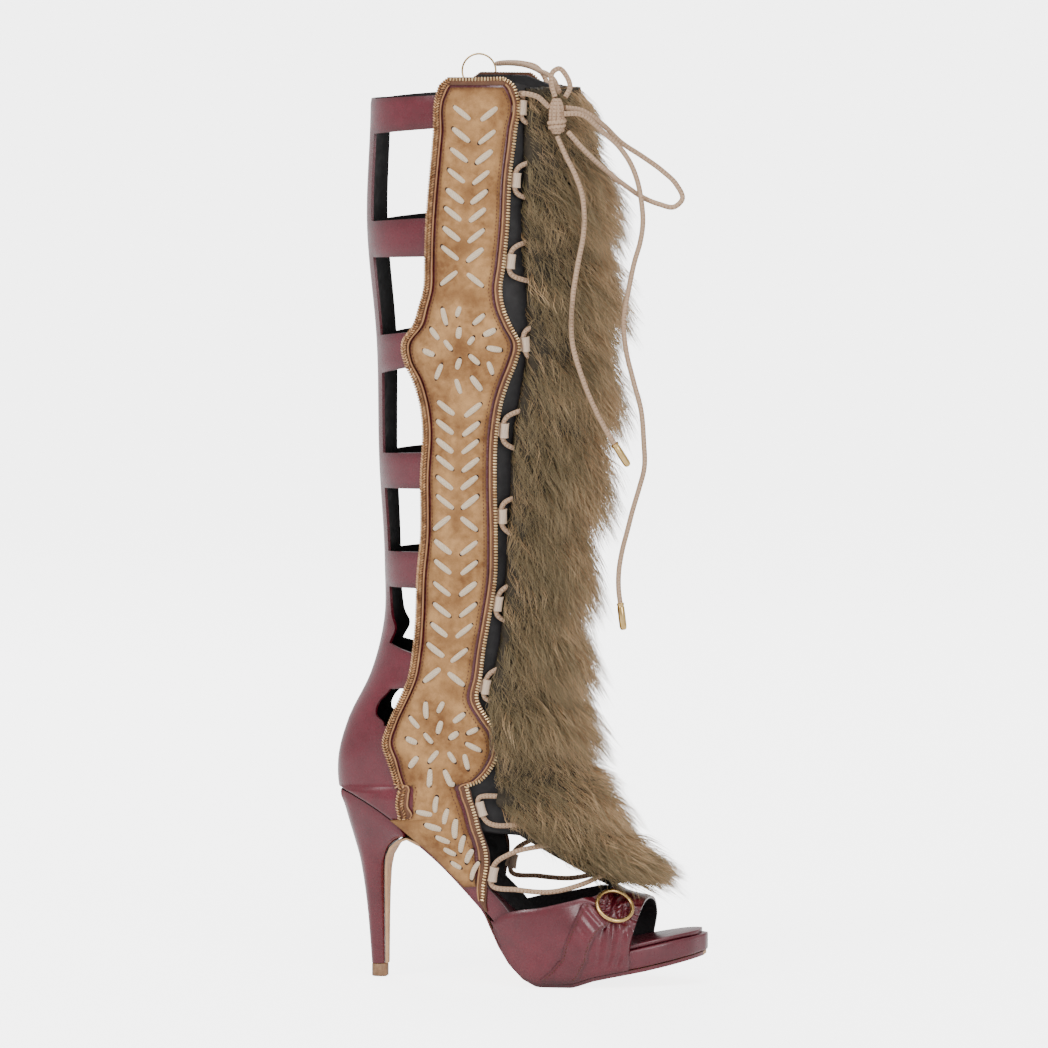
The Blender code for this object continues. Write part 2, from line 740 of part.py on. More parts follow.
def sheet(name: str, points: np.ndarray, normals: np.ndarray, keep: np.ndarray, high: np.ndarray,
          low: np.ndarray, finish: Finish, drift: np.ndarray = None) -> bpy.types.Object:
    """Make a closed wall over a grid of points.

    keep says which cells of the grid exist; high and low are the heights of the wall's two
    skins along the normals; drift moves the high skin as well.
    """
    rows, columns = points.shape[:2]
    numbers = {}
    ids = np.zeros((rows, columns), int)
    places = []
    for i in range(rows):
        for j in range(columns):
            key = tuple(np.round(points[i, j], 7))
            ids[i, j] = numbers.setdefault(key, len(numbers))
            if ids[i, j] == len(places):
                places.append((i, j))
    summed = np.zeros((len(places), 3))
    for i in range(rows):
        for j in range(columns):
            summed[ids[i, j]] += normals[i, j]
    summed /= np.maximum(np.linalg.norm(summed, axis=1, keepdims=True), TINY)
    first = tuple(np.array(places).T)
    base = points[first]
    top = base + summed * np.broadcast_to(high, (rows, columns))[first][:, None]
    if drift is not None:
        top = top + drift[first]
    bottom = base + summed * np.broadcast_to(low, (rows, columns))[first][:, None]
    cells = []
    for i in range(rows - 1):
        for j in range(columns - 1):
            if keep[i, j]:
                corner = [ids[i, j], ids[i, j + 1], ids[i + 1, j + 1], ids[i + 1, j]]
                if points[i, j, 0] < points[i, j + 1, 0]:
                    corner = corner[1:] + corner[:1]
                halves = ((corner[0], corner[1], corner[2]), (corner[0], corner[2], corner[3]))
                cells += [half for half in halves if len(set(half)) == 3]
    used = {}
    for cell in cells:
        for n, one in enumerate(cell):
            used[(one, cell[(n + 1) % len(cell)])] = True
    count = len(places)
    faces = list(cells)
    faces += [tuple(one + count for one in reversed(cell)) for cell in cells]
    faces += [(b, a, a + count, b + count) for a, b in used if (b, a) not in used]
    kept = sorted({one for face in faces for one in face})
    renumber = {old: new for new, old in enumerate(kept)}
    vertices = np.concatenate([top, bottom])[kept]
    return mesh_object(name, vertices, [tuple(renumber[one] for one in face) for face in faces], finish)


def loft(name: str, rings: np.ndarray, finish: Finish, caps: bool = True) -> bpy.types.Object:
    """Make a closed solid through rings of as many points each."""
    count, size = rings.shape[:2]
    faces = []
    for i in range(count - 1):
        for j in range(size):
            k = (j + 1) % size
            faces.append((i * size + j, i * size + k, (i + 1) * size + k, (i + 1) * size + j))
    if caps:
        faces.append(tuple(reversed(range(size))))
        faces.append(tuple((count - 1) * size + j for j in range(size)))
    return mesh_object(name, rings.reshape(-1, 3), faces, finish)


def slab(name: str, along: np.ndarray, top: np.ndarray, bottom: np.ndarray, inset: float,
         finish: Finish) -> bpy.types.Object:
    """Make a sole layer with rounded edges between two heights over the sole's outline."""
    outer = -np.maximum(BALL_WIDTH * smooth(along, SOLE_ROWS, "lateral") - inset, -BALL_WIDTH)
    inner = BALL_WIDTH * smooth(along, SOLE_ROWS, "medial") - inset
    middle = (outer + inner) / 2
    half = np.maximum((inner - outer) / 2, 2 * EDGE_ROUND)
    round_off = np.minimum(EDGE_ROUND, (top - bottom) * 0.3)
    x = x_of(along)
    corners = (
        (-1, 1, top, 0), (1, 1, top, 0), (1, 0, top, 1), (1, 0, bottom, -1),
        (1, 1, bottom, 0), (-1, 1, bottom, 0), (-1, 0, bottom, -1), (-1, 0, top, 1),
    )
    rings = [np.stack([x, middle + side * (half - pulled * round_off), z - down * round_off], -1)
             for side, pulled, z, down in corners]
    return loft(name, np.stack(rings, 1), finish)


def tube(name: str, path: np.ndarray, radius: float, sides: int, finish: Finish) -> bpy.types.Object:
    """Sweep a round section along a path, turned as little as possible between points."""
    tangents = np.gradient(path, axis=0)
    tangents /= np.linalg.norm(tangents, axis=1, keepdims=True)
    across = np.cross(tangents[0], (0.0, 0.0, 1.0))
    if np.linalg.norm(across) < 1e-3:
        across = np.array([1.0, 0.0, 0.0])
    rings = []
    for point, tangent in zip(path, tangents):
        across = across - tangent * (across @ tangent)
        across /= np.linalg.norm(across)
        other = np.cross(tangent, across)
        angles = np.arange(sides) * 2 * np.pi / sides
        rings.append(point + radius * (np.cos(angles)[:, None] * across + np.sin(angles)[:, None] * other))
    return loft(name, np.array(rings), finish)


def wing_marks(rise: float) -> tuple:
    """Ways around of the side panel's back edge, its two inner splits and its front edge."""
    back = float(straight(rise, PANEL_ROWS, "back"))
    front = float(straight(rise, PANEL_ROWS, "front"))
    return (back, *(back + (front - back) * share for share in PANEL_SPLITS), front)


def wing_rises() -> np.ndarray:
    """Levels that upper, panels, trims and tongue share at the sides."""
    return np.array([row.side for row in CAGE_ROWS] + [row.rise for row in FOOT_ROWS])


def both_sides(values: np.ndarray, sign: float) -> np.ndarray:
    """Mirror a grid to the outer side, in front of its own columns."""
    return np.concatenate([sign * values[:, ::-1], values], 1)


def make_upper() -> None:
    """Cage, heel cup and the wings under the side panels: one hollow wall."""
    rises, arounds, keeps = [], [], []
    for row in CAGE_ROWS:
        back, first, second, front = wing_marks(row.side)
        back = step_around(row.side, back, WING_INSET)
        front = step_around(row.side, front, -WING_INSET)
        marks = [TINY, row.spine, row.inner, back, first, second, front]
        shares = np.clip((np.array(marks) - row.spine) / (back - row.spine), 0.0, 1.0)
        arounds.append(marks)
        rises.append(row.back + (row.side - row.back) * shares)
        keeps.append(CAGE_BANDS[row.band] + (True, True, True))
    for row in FOOT_ROWS:
        back, first, second, _ = wing_marks(row.rise)
        heel = [TINY, *(back * share for share in HEEL_SPLITS), back]
        arounds.append(np.maximum(heel + [first, second, row.front], TINY))
        rises.append([row.rise] * 7)
        keeps.append((True,) * 6)
    rise = both_sides(np.array(rises), 1.0)
    around = both_sides(np.array(arounds), -1.0)
    keep = np.array(keeps[:-1])
    bridge = np.zeros((len(keep), 1), bool)
    keep = np.concatenate([keep[:, ::-1], bridge, keep], 1)
    points = form(rise, around)
    middle = (rise >= 0) & (np.abs(around) < 1e-6)
    points[..., 1] = np.where(middle, 0.0, points[..., 1])
    sheet("upper", points, form_normal(rise, around), keep, 0.0, -UPPER_WALL, BURGUNDY)


def inner_edges(rises: np.ndarray, distance: float) -> tuple:
    """Panel edges moved inward by a distance across the outline, with its slope allowed for."""
    levels = wing_rises()[:-1]
    height = np.where(levels >= 0, levels * LEG_HEIGHT, levels * SHOE_LENGTH)
    moved = []
    for column, sign in (("back", 1.0), ("front", -1.0)):
        edge = straight(levels, PANEL_ROWS, column)
        reach = np.array([step_around(level, one, 1.0) - one for level, one in zip(levels, edge)])
        slope = np.gradient(edge / reach, height)
        lean = np.sqrt(1 + np.clip(slope, -1.2, 1.2) ** 2)
        shifted = edge + sign * distance * lean * reach
        moved.append(np.interp(rises, levels[::-1], shifted[::-1]))
    return moved[0], moved[1]


def make_panel(side: int, name: str) -> None:
    """Suede panel inside its trim, from the shaft's top edge to the sole."""
    top = 1.0 - (TRIM_WIDTH + PANEL_GAP) / LEG_HEIGHT
    shared = wing_rises()[:-1]
    lower = (shared < top - ROW_SPACE) & (shared >= PANEL_END_RISE)
    rises = np.concatenate([[top], shared[lower]])
    back, front = inner_edges(rises, TRIM_WIDTH + PANEL_GAP)
    back = np.where(rises < TRIM_END_RISE, TINY, back)
    around = []
    for rise, low, high in zip(rises, back, front):
        _, first, second, _ = wing_marks(rise)
        end = max(high, low)
        around.append([low, np.clip(first, low, end), np.clip(second, low, end), end])
    around = side * np.array(around)
    rise = np.repeat(rises[:, None], around.shape[1], 1)
    keep = np.ones((len(rises) - 1, around.shape[1] - 1), bool)
    low = OVERLAY_GAP
    sheet(name, form(rise, around), form_normal(rise, around), keep, low + PANEL_WALL, low, SUEDE)


def make_trim(side: int, name: str) -> None:
    """Raised trim with the zip teeth along the panel's back, top and front edges."""
    below = 1.0 - TRIM_WIDTH / LEG_HEIGHT
    shared = wing_rises()[:-1]
    rises = np.concatenate([[1.0], [below], shared[shared < below - ROW_SPACE]])
    back = straight(rises, PANEL_ROWS, "back")
    front = straight(rises, PANEL_ROWS, "front")
    inner_back, inner_front = inner_edges(rises, TRIM_WIDTH)
    inner_back[0] = inner_back[1]
    inner_front[0] = inner_front[1]
    first, second = back + (front - back) * np.array(PANEL_SPLITS)[:, None]
    marks = np.stack([back, inner_back, first, second, inner_front, front], 1)
    around = side * np.maximum(marks, TINY)
    rise = np.repeat(rises[:, None], marks.shape[1], 1)
    keep = np.zeros((len(rises) - 1, marks.shape[1] - 1), bool)
    keep[0, :] = True
    keep[:, 0] = rises[1:] >= TRIM_END_RISE
    keep[:, -1] = True
    low = OVERLAY_GAP
    sheet(name, form(rise, around), form_normal(rise, around), keep, low + TRIM_WALL, low, BRASS)


def front_way(offset: np.ndarray) -> np.ndarray:
    """Way around for an offset from the middle of the front, negative on the outer side."""
    return np.where(offset < 0, -(1 + offset), 1 - offset)


def make_tongue() -> None:
    """Lined tongue behind the laces, tucked under both wings."""
    spread = np.linspace(-1, 1, TONGUE_COLUMNS + 1)
    rises, offsets = [], []
    for rise in wing_rises()[:-1]:
        if rise > TONGUE_ROWS[0].rise:
            _, _, tucked, front = wing_marks(rise)
            edge = step_around(rise, front, -WING_INSET)
        else:
            edge = float(straight(rise, TONGUE_ROWS, "edge"))
            tucked = edge - 0.01
        row = np.concatenate([[tucked - 1], spread * (1 - edge), [1 - tucked]])
        dip = TONGUE_DIP * np.clip(rise - 0.9, 0, 1) / 0.1 * (1 - np.clip(row / (1 - edge), -1, 1) ** 2)
        offsets.append(row)
        rises.append(rise - dip)
    rise = np.array(rises)
    around = front_way(np.array(offsets))
    keep = np.ones((len(rises) - 1, TONGUE_COLUMNS + 2), bool)
    high = -(UPPER_WALL + OVERLAY_GAP)
    sheet("tongue", form(rise, around), form_normal(rise, around), keep, high, high - TONGUE_WALL, BLACK)


def keeper_frame(rise: float, side: int) -> tuple:
    """Centre of a lace keeper and its directions: forward, up and out."""
    def beside(level: float) -> float:
        edge = float(straight(level, PANEL_ROWS, "front"))
        return side * step_around(level, edge, KEEPER_CLEARANCE + KEEPER_WIDTH / 2)

    around = abs(beside(rise))
    height = (LACE_DIAMETER + 2 * KEEPER_WALL + 2 * 2 * GAP) / 2 - UPPER_WALL
    centre = on_form(rise, side * around, height)
    out = form_normal(rise, side * around)
    span = KEEPER_HEIGHT / 2 / (LEG_HEIGHT if rise > 0 else SHOE_LENGTH)
    up = form(rise + span, beside(rise + span)) - form(rise - span, beside(rise - span))
    up = up - out * (up @ out)
    up /= np.linalg.norm(up)
    forward = side * np.cross(up, out) * -1.0
    return centre, forward, up, out


def make_keepers() -> None:
    """Flat loops on the panels' front edges that hold the lace."""
    half_out = (LACE_DIAMETER + 4 * GAP) / 2 + KEEPER_WALL
    half_forward = KEEPER_WIDTH / 2
    for side, word in ((-1, "lateral"), (1, "medial")):
        for number, rise in enumerate(KEEPER_RISES, 1):
            centre, forward, up, out = keeper_frame(rise, side)
            rings = []
            for wall, end in ((0.0, -1), (0.0, 1), (KEEPER_WALL, 1), (KEEPER_WALL, -1)):
                corners = ((-1, -1), (1, -1), (1, 1), (-1, 1))
                rings.append([centre + up * end * KEEPER_HEIGHT / 2 + forward * a * (half_forward - wall)
                              + out * b * (half_out - wall) for a, b in corners])
            rings.append(rings[0])
            loft(f"keeper_{word}_{number:02d}", np.array(rings), LACE, caps=False)


def curve_through(route: tuple, step: float) -> np.ndarray:
    """Points about a step apart on a smooth curve through a route's points."""
    knots = np.array(route, float)
    spans = np.linalg.norm(np.diff(knots, axis=0), axis=1)
    key = np.concatenate([[0.0], np.cumsum(spans)])
    slopes = np.gradient(knots, key, axis=0)
    fine = np.linspace(0.0, key[-1], CORD_SAMPLES * len(knots))
    index = np.clip(np.searchsorted(key, fine) - 1, 0, len(knots) - 2)
    t = ((fine - key[index]) / spans[index])[:, None]
    span = spans[index][:, None]
    dense = ((2 * t**3 - 3 * t**2 + 1) * knots[index] + (t**3 - 2 * t**2 + t) * span * slopes[index]
             + (3 * t**2 - 2 * t**3) * knots[index + 1] + (t**3 - t**2) * span * slopes[index + 1])
    run = np.concatenate([[0.0], np.cumsum(np.linalg.norm(np.diff(dense, axis=0), axis=1))])
    stops = np.linspace(0.0, run[-1], max(int(round(run[-1] / step)), 2) + 1)
    return np.column_stack([np.interp(stops, run, dense[:, axis]) for axis in range(3)])


def cord(name: str, route: tuple) -> None:
    """Make one free stretch of lace along its route."""
    points = curve_through(route, CORD_STEP * LACE_DIAMETER)
    curve = bpy.data.curves.new(name, "CURVE")
    curve.dimensions = "3D"
    curve.bevel_depth = LACE_DIAMETER / 2
    curve.bevel_resolution = 2
    curve.use_fill_caps = True
    spline = curve.splines.new("POLY")
    spline.points.add(len(points) - 1)
    for target, point in zip(spline.points, points):
        target.co = (*point, 1.0)
    curve.materials.append(material_of(LACE))
    bpy.context.scene.collection.objects.link(bpy.data.objects.new(name, curve))


def make_knot() -> None:
    """Knot at the top of the lacing, its loops, its two free ends and their metal tips."""
    turns = np.arange(12) * np.pi / 6
    rings = []
    for angle in np.linspace(-1.35, 1.35, 9):
        flat = np.stack([np.cos(turns) * np.cos(angle), np.sin(turns) * np.cos(angle),
                         np.full(12, np.sin(angle))], -1)
        rings.append(np.array(KNOT_CENTRE) + flat * np.array(KNOT_RADII))
    loft("lace_knot", np.array(rings), LACE)
    cord("lace_small_loop", SMALL_LOOP)
    cord("lace_large_loop", LARGE_LOOP)
    for name, route in (("short", SHORT_END), ("long", LONG_END)):
        cord(f"lace_end_{name}", route)
        run = np.array(route[-1]) - np.array(route[-2])
        run /= np.linalg.norm(run)
        start = np.array(route[-1]) + run * GAP
        tube(f"aglet_{name}", np.array([start, start + run * AGLET_LENGTH]), AGLET_DIAMETER / 2, 12, BRASS)


def make_pull() -> None:
    """Slider of the inner side's zip and the ring that stands up from it."""
    seat = form(PULL_RISE, PULL_AROUND)
    reach = OVERLAY_GAP + TRIM_WALL + GAP + PULL_EASE + PULL_SADDLE_HEIGHT / 2
    centre = seat + np.array([0.0, reach, 0.0])
    rings = []
    for half, end in ((PULL_SADDLE_HEIGHT, -1), (PULL_SADDLE_HEIGHT, 1), (PULL_HOLE, 1), (PULL_HOLE, -1)):
        rings.append([centre + np.array([end * PULL_SADDLE_LENGTH, a * half, b * half]) / 2
                      for a, b in ((-1, -1), (1, -1), (1, 1), (-1, 1))])
    rings.append(rings[0])
    loft("zip_slider", np.array(rings), BRASS, caps=False)
    ring = torus("pull_ring", PULL_RING_DIAMETER, PULL_RING_WIRE, BRASS, (28, 8))
    ring.location = Vector(centre) + Vector((0.0, 0.0, (PULL_RING_DIAMETER - PULL_RING_WIRE) / 2))
    ring.rotation_euler = (np.pi / 2, 0.0, 0.0)


def lace_path() -> np.ndarray:
    """Centre line of the lacing from the outer top keeper down, across and up again."""
    reach = KEEPER_HEIGHT / 2 + LACE_STRAIGHT
    last = len(KEEPER_RISES) - 1

    def at_keeper(number: int, side: int, end: int) -> np.ndarray:
        centre, _, up, _ = keeper_frame(KEEPER_RISES[number], side)
        return centre + up * end * reach

    def offset_of(number: int, side: int) -> float:
        edge = float(straight(KEEPER_RISES[number], PANEL_ROWS, "front"))
        return side * (1 - step_around(KEEPER_RISES[number], edge, KEEPER_WIDTH / 2))

    def crossing(number: int, side: int, height: float) -> list:
        start, end = offset_of(number, side), offset_of(number + 1, -side)
        high, low = KEEPER_RISES[number], KEEPER_RISES[number + 1]
        high -= reach / (LEG_HEIGHT if high > 0 else SHOE_LENGTH)
        low += reach / (LEG_HEIGHT if low > 0 else SHOE_LENGTH)
        base = LACE_LIFT if KEEPER_RISES[number] > 0 else LACE_FOOT_LIFT
        found = []
        for step in LACE_STEPS:
            eased = step - LACE_EASE * np.sin(2 * np.pi * step)
            way = float(front_way(np.array(start + (end - start) * eased)))
            lifted = height * np.sin(np.pi * step) ** 2 + base
            found.append(on_form(high + (low - high) * step, way, lifted))
        return found

    down, side = [], -1
    for number in range(last):
        down += [at_keeper(number, side, 1), at_keeper(number, side, -1)]
        down += crossing(number, side, 0.0)
        side = -side
    down += [at_keeper(last, side, 1), at_keeper(last, side, -1)]
    climb, side = [], 1
    for number in range(last):
        climb += [at_keeper(number, side, 1), at_keeper(number, side, -1)]
        climb += crossing(number, side, LACE_OVERPASS)
        side = -side
    climb += [at_keeper(last, side, 1), at_keeper(last, side, -1)]
    outer_tie = list(curve_through(OUTER_TIE[::-1], CORD_STEP * LACE_DIAMETER))
    inner_tie = list(curve_through(INNER_TIE[::-1], CORD_STEP * LACE_DIAMETER))
    low_rise = KEEPER_RISES[last]
    bar = [on_form(low_rise - one.fall, float(front_way(np.array(-side * one.offset))), one.lift)
           for one in BAR_STATIONS]
    return np.array(outer_tie + down + bar + climb[::-1] + inner_tie)


def make_fur() -> None:
    """Deep fur over the tongue, in staggered tiers of pointed locks."""
    levels = np.linspace(FUR_ROWS[0].rise, FUR_ROWS[-1].rise, FUR_TIERS + 1)
    offsets = np.linspace(-1, 1, FUR_COLUMNS + 1)
    edge = smooth(levels, FUR_ROWS, "edge")
    length = FUR_LENGTH * smooth(levels, FUR_ROWS, "length")
    around = front_way(offsets[None, :] * (1 - edge)[:, None])
    rise = np.repeat(levels[:, None], FUR_COLUMNS + 1, 1)
    points = form(rise, around)
    normals = form_normal(rise, around)
    tier, column = np.indices(rise.shape)
    tip = ((tier + column) % 2).astype(float)
    profile = np.sqrt(np.clip(1 - np.abs(offsets) ** 2.5, 0, 1))[None, :]
    full = FUR_EDGE + (length[:, None] - FUR_EDGE) * profile
    lumps = 1 + 0.10 * np.sin(1.9 * tier + 2.3 * column) + 0.06 * np.sin(0.7 * tier - 1.3 * column)
    high = full * lumps * (0.72 + 0.28 * tip)
    low = np.full(rise.shape, FUR_BASE)
    seat = -(UPPER_WALL + OVERLAY_GAP) + GAP
    for keeper in KEEPER_RISES[:-1]:
        nearest = int(np.argmin(np.abs(levels - keeper)))
        low[nearest, FUR_COLUMNS // 2] = seat
    downward = form(rise - 4e-3, around) - form(rise + 4e-3, around)
    downward /= np.linalg.norm(downward, axis=-1, keepdims=True)
    drift = downward * (FUR_SWEEP * tip)[..., None]
    keep = np.ones((FUR_TIERS, FUR_COLUMNS), bool)
    sheet("fur", points, normals, keep, high, low, FUR, drift)


def vamp_surface(along: np.ndarray, ray: np.ndarray) -> np.ndarray:
    """Inner face of the vamp over the platform and the ball of the foot."""
    along, ray = np.broadcast_arrays(np.asarray(along, float), np.asarray(ray, float))
    base = sole_top(along) + GAP
    ease = GAP + VAMP_EASE * smooth(along, ARCH_ROWS, "ease")
    outer = BALL_WIDTH * smooth(along, SOLE_ROWS, "lateral") + ease
    inner = BALL_WIDTH * smooth(along, SOLE_ROWS, "medial") + ease
    top = SEAT_HEIGHT * smooth(along, ARCH_ROWS, "height")
    hem = sole_bottom(along) + OUTSOLE_THICKNESS + GAP
    angle = np.clip(ray / SKIRT_RAY, -1, 1) * np.pi / 2
    reach = np.where(ray < 0, outer, inner)
    y = np.sign(ray) * reach * np.abs(np.sin(angle)) ** 0.9
    skirt = np.clip((np.abs(ray) - SKIRT_RAY) / (1 - SKIRT_RAY), 0, 1)
    z = np.where(skirt > 0, base + (hem - base) * skirt, base + top * np.abs(np.cos(angle)) ** 0.8)
    return np.stack([x_of(along), y, z], -1)


def vamp_normal(along: np.ndarray, ray: np.ndarray) -> np.ndarray:
    """Outward unit normal of the vamp."""
    across = vamp_surface(along, np.clip(ray + 6e-3, -1, 1)) - vamp_surface(along, np.clip(ray - 6e-3, -1, 1))
    forward = vamp_surface(along + 2e-3, ray) - vamp_surface(along - 2e-3, ray)
    normal = np.cross(forward, across)
    return normal / np.linalg.norm(normal, axis=-1, keepdims=True)


def make_vamp() -> None:
    """Open-toe band over the ball of the foot with its skirts outside the platform."""
    shares = np.linspace(0, 1, VAMP_COLUMNS + 1)
    along = np.array([row.back + (row.front - row.back) * shares for row in VAMP_ROWS])
    ray = np.repeat(np.array([row.ray for row in VAMP_ROWS])[:, None], VAMP_COLUMNS + 1, 1)
    keep = np.ones((len(VAMP_ROWS) - 1, VAMP_COLUMNS), bool)
    sheet("vamp", vamp_surface(along, ray), vamp_normal(along, ray), keep, VAMP_WALL, 0.0, BURGUNDY)


def make_vamp_strap() -> None:
    """Diagonal strap over the vamp's outer side, from the sole up to the ring."""
    stations = np.array(STRAP_STATIONS)
    middle = vamp_surface(stations[:, 1], stations[:, 0])
    run = np.gradient(middle, axis=0)
    run /= np.linalg.norm(run, axis=1, keepdims=True)
    normal = vamp_normal(stations[:, 1], stations[:, 0])
    across = np.cross(normal, run)
    along, ray = [], []
    for station, direction in zip(STRAP_STATIONS, across):
        half = STRAP_WIDTH / 2 * station.width / SHOE_LENGTH
        lean = np.clip(abs(direction[0]), 0.5, 1.0)
        along.append([station.along - half / lean, station.along, station.along + half / lean])
        ray.append([station.ray] * 3)
    along = np.array(along)
    ray = np.array(ray)
    keep = np.ones((len(STRAP_STATIONS) - 1, 2), bool)
    low = VAMP_WALL + OVERLAY_GAP
    sheet("vamp_strap", vamp_surface(along, ray), vamp_normal(along, ray), keep, low + STRAP_WALL,
          low, BURGUNDY)


def torus(name: str, diameter: float, wire: float, finish: Finish, sides: tuple) -> bpy.types.Object:
    """Make a ring of round wire; diameter is measured over the wire's outside."""
    major, minor = (diameter - wire) / 2, wire / 2
    around = np.arange(sides[0]) * 2 * np.pi / sides[0]
    rings = []
    for angle in np.append(around, 0.0):
        turn = np.arange(sides[1]) * 2 * np.pi / sides[1]
        out = major + minor * np.cos(turn)
        rings.append(np.stack([out * np.cos(angle), out * np.sin(angle), minor * np.sin(turn)], -1))
    return loft(name, np.array(rings), finish, caps=False)


def make_vamp_ring() -> None:
    """Ring that gathers the vamp's straps on the outer side."""
    ring = torus("vamp_ring", RING_DIAMETER, RING_WIRE, BRASS, (24, 6))
    along, ray = np.array(RING_ALONG), np.array(RING_RAY)
    normal = vamp_normal(along, ray)
    lift = VAMP_WALL + OVERLAY_GAP + STRAP_WALL + GAP + RING_WIRE / 2
    ring.location = Vector(vamp_surface(along, ray) + normal * lift)
    ring.rotation_mode = "QUATERNION"
    ring.rotation_quaternion = Vector((0, 0, 1)).rotation_difference(Vector(normal))


def make_sole() -> None:
    """Insole and platform."""
    stations = np.array([0.064, 0.08, 0.11, 0.16, 0.23, 0.30, 0.37, 0.43, 0.48, 0.53, 0.58, 0.64, 0.70,
                         0.77, 0.84, 0.89, 0.93, 0.96, 0.98])
    top = sole_top(stations)
    slab("insole", stations, top + GAP + INSOLE_THICKNESS, top + GAP, INSOLE_INSET, BURGUNDY)
    stations = np.array([0.445, 0.46, 0.48, 0.50, 0.53, 0.563, 0.576, 0.62, 0.662, 0.70, 0.75, 0.80,
                         0.85, 0.89, 0.92, 0.95, 0.972, 0.988, 0.997])
    bottom = sole_bottom(stations) + OUTSOLE_THICKNESS + GAP
    slab("platform", stations, sole_top(stations), bottom, 0.0, BURGUNDY)


OUTSOLE_STATIONS = (0.992, 0.970, 0.940, 0.900, 0.850, 0.800, 0.750, 0.700, 0.662, 0.620, 0.576,
                    0.563, 0.545, 0.528, 0.508, 0.489, 0.474, 0.459, 0.447, 0.437, 0.420, 0.380,
                    0.330, 0.280, 0.240)


def make_outsole() -> None:
    """Outsole from the toe along the arch and down the heel's breast as a flap."""
    stations = np.array(OUTSOLE_STATIONS)
    low = sole_bottom(stations)
    upper_line = np.column_stack([x_of(stations), low + OUTSOLE_THICKNESS - GAP])
    lower_line = np.column_stack([x_of(stations), low])
    outer = BALL_WIDTH * smooth(stations, SOLE_ROWS, "lateral") - OUTSOLE_INSET
    inner = BALL_WIDTH * smooth(stations, SOLE_ROWS, "medial") - OUTSOLE_INSET
    fronts = np.array([[x_of(row.front), SEAT_HEIGHT * row.front_height] for row in HEEL_ROWS])
    run = np.gradient(fronts, axis=0)
    run /= np.linalg.norm(run, axis=1, keepdims=True)
    away = np.column_stack([-run[:, 1], run[:, 0]])
    flap_near = fronts + away * (GAP + SEAT_GAP)
    flap_far = fronts + away * (GAP + SEAT_GAP + BREAST_FLAP)
    width = BALL_WIDTH * np.array([row.width for row in HEEL_ROWS]) * FLAP_SHARE
    stem_front = 1 - 0.25 * (np.pi * (HEEL_STEM_TURN - 0.5)) ** 2
    seats = np.array([row.seat for row in HEEL_ROWS])
    width = width * (seats + (1 - seats) * stem_front)
    upper_line = np.concatenate([upper_line, flap_near])
    lower_line = np.concatenate([lower_line, flap_far])
    outer = np.concatenate([outer, width])
    inner = np.concatenate([inner, width])
    rings = [np.column_stack([line[:, 0], reach, line[:, 1]]) for line, reach in
             ((upper_line, -outer), (upper_line, inner), (lower_line, inner), (lower_line, -outer))]
    loft("outsole", np.stack(rings, 1), LEATHER_SOLE)


def heel_rings() -> np.ndarray:
    """Sections of the heel from its seat to its foot."""
    side_shares = np.array(HEEL_SIDE_SHARES)
    seat = HEEL_ROWS[0]
    seat_along = seat.back + (seat.front - seat.back) * side_shares
    widest = smooth(np.array(seat.front), SOLE_ROWS, "lateral")
    seat_width = smooth(seat_along, SOLE_ROWS, "lateral") / widest
    stem_angle = np.linspace(0, np.pi * HEEL_STEM_TURN, len(side_shares))
    stem_share = (1 - np.cos(stem_angle)) / (1 - np.cos(stem_angle[-1]))
    stem_width = np.sin(np.minimum(stem_angle, np.pi / 2)) - 0.25 * np.clip(stem_angle - np.pi / 2, 0, 2) ** 2
    rings = []
    for row in HEEL_ROWS:
        share = row.seat * side_shares + (1 - row.seat) * stem_share
        width = BALL_WIDTH * row.width * (row.seat * seat_width + (1 - row.seat) * stem_width)
        fronts = len(HEEL_FRONT_STEPS)
        share = np.concatenate([share, np.ones(fronts), share[:0:-1]])
        y = np.concatenate([-width, -width[-1] * np.array(HEEL_FRONT_STEPS), width[:0:-1]])
        x = x_of(row.back + (row.front - row.back) * share)
        z = SEAT_HEIGHT * (row.back_height + (row.front_height - row.back_height) * share)
        if row.seat == 1.0:
            rings.append(np.stack([x, y, sole_top((x + HEEL_SETBACK) / SHOE_LENGTH) - SEAT_GAP], -1))
        rings.append(np.stack([x, y, z], -1))
    return np.array(rings)


def make_heel() -> None:
    """Slim covered heel and its tip."""
    rings = heel_rings()
    rings[1, :, 2] = np.minimum(rings[1, :, 2], rings[0, :, 2] - HEEL_LIP)
    rings[-1, :, 2] = TIP_HEIGHT + GAP
    loft("heel", rings, BURGUNDY)
    foot = rings[-1]
    centre = (foot.max(0) + foot.min(0)) / 2
    spread = foot - centre
    half = np.array([TIP_LENGTH / 2, TIP_WIDTH / 2]) / np.abs(spread[:, :2]).max(0)
    tip = []
    for height, shrink in ((TIP_HEIGHT, 0.0), (TIP_RIM, 0.0), (0.0, TIP_RIM)):
        scaled = spread[:, :2] * half * (1 - shrink / TIP_LENGTH * 2)
        tip.append(np.column_stack([scaled + centre[:2] * (0, 1), np.full(len(foot), height)]))
    loft("heel_tip", np.array(tip), LEATHER_SOLE)


def make_all() -> None:
    """Build every piece."""
    clear_scene()
    make_heel()
    make_sole()
    make_outsole()
    make_upper()
    for side, word in ((-1, "lateral"), (1, "medial")):
        make_panel(side, f"panel_{word}")
        make_trim(side, f"zip_trim_{word}")
    make_tongue()
    make_keepers()
    tube("lace_crossings", lace_path(), LACE_DIAMETER / 2, LACE_SIDES, LACE)
    make_knot()
    make_fur()
    make_vamp()
    make_vamp_strap()
    make_vamp_ring()
    make_pull()


make_all()
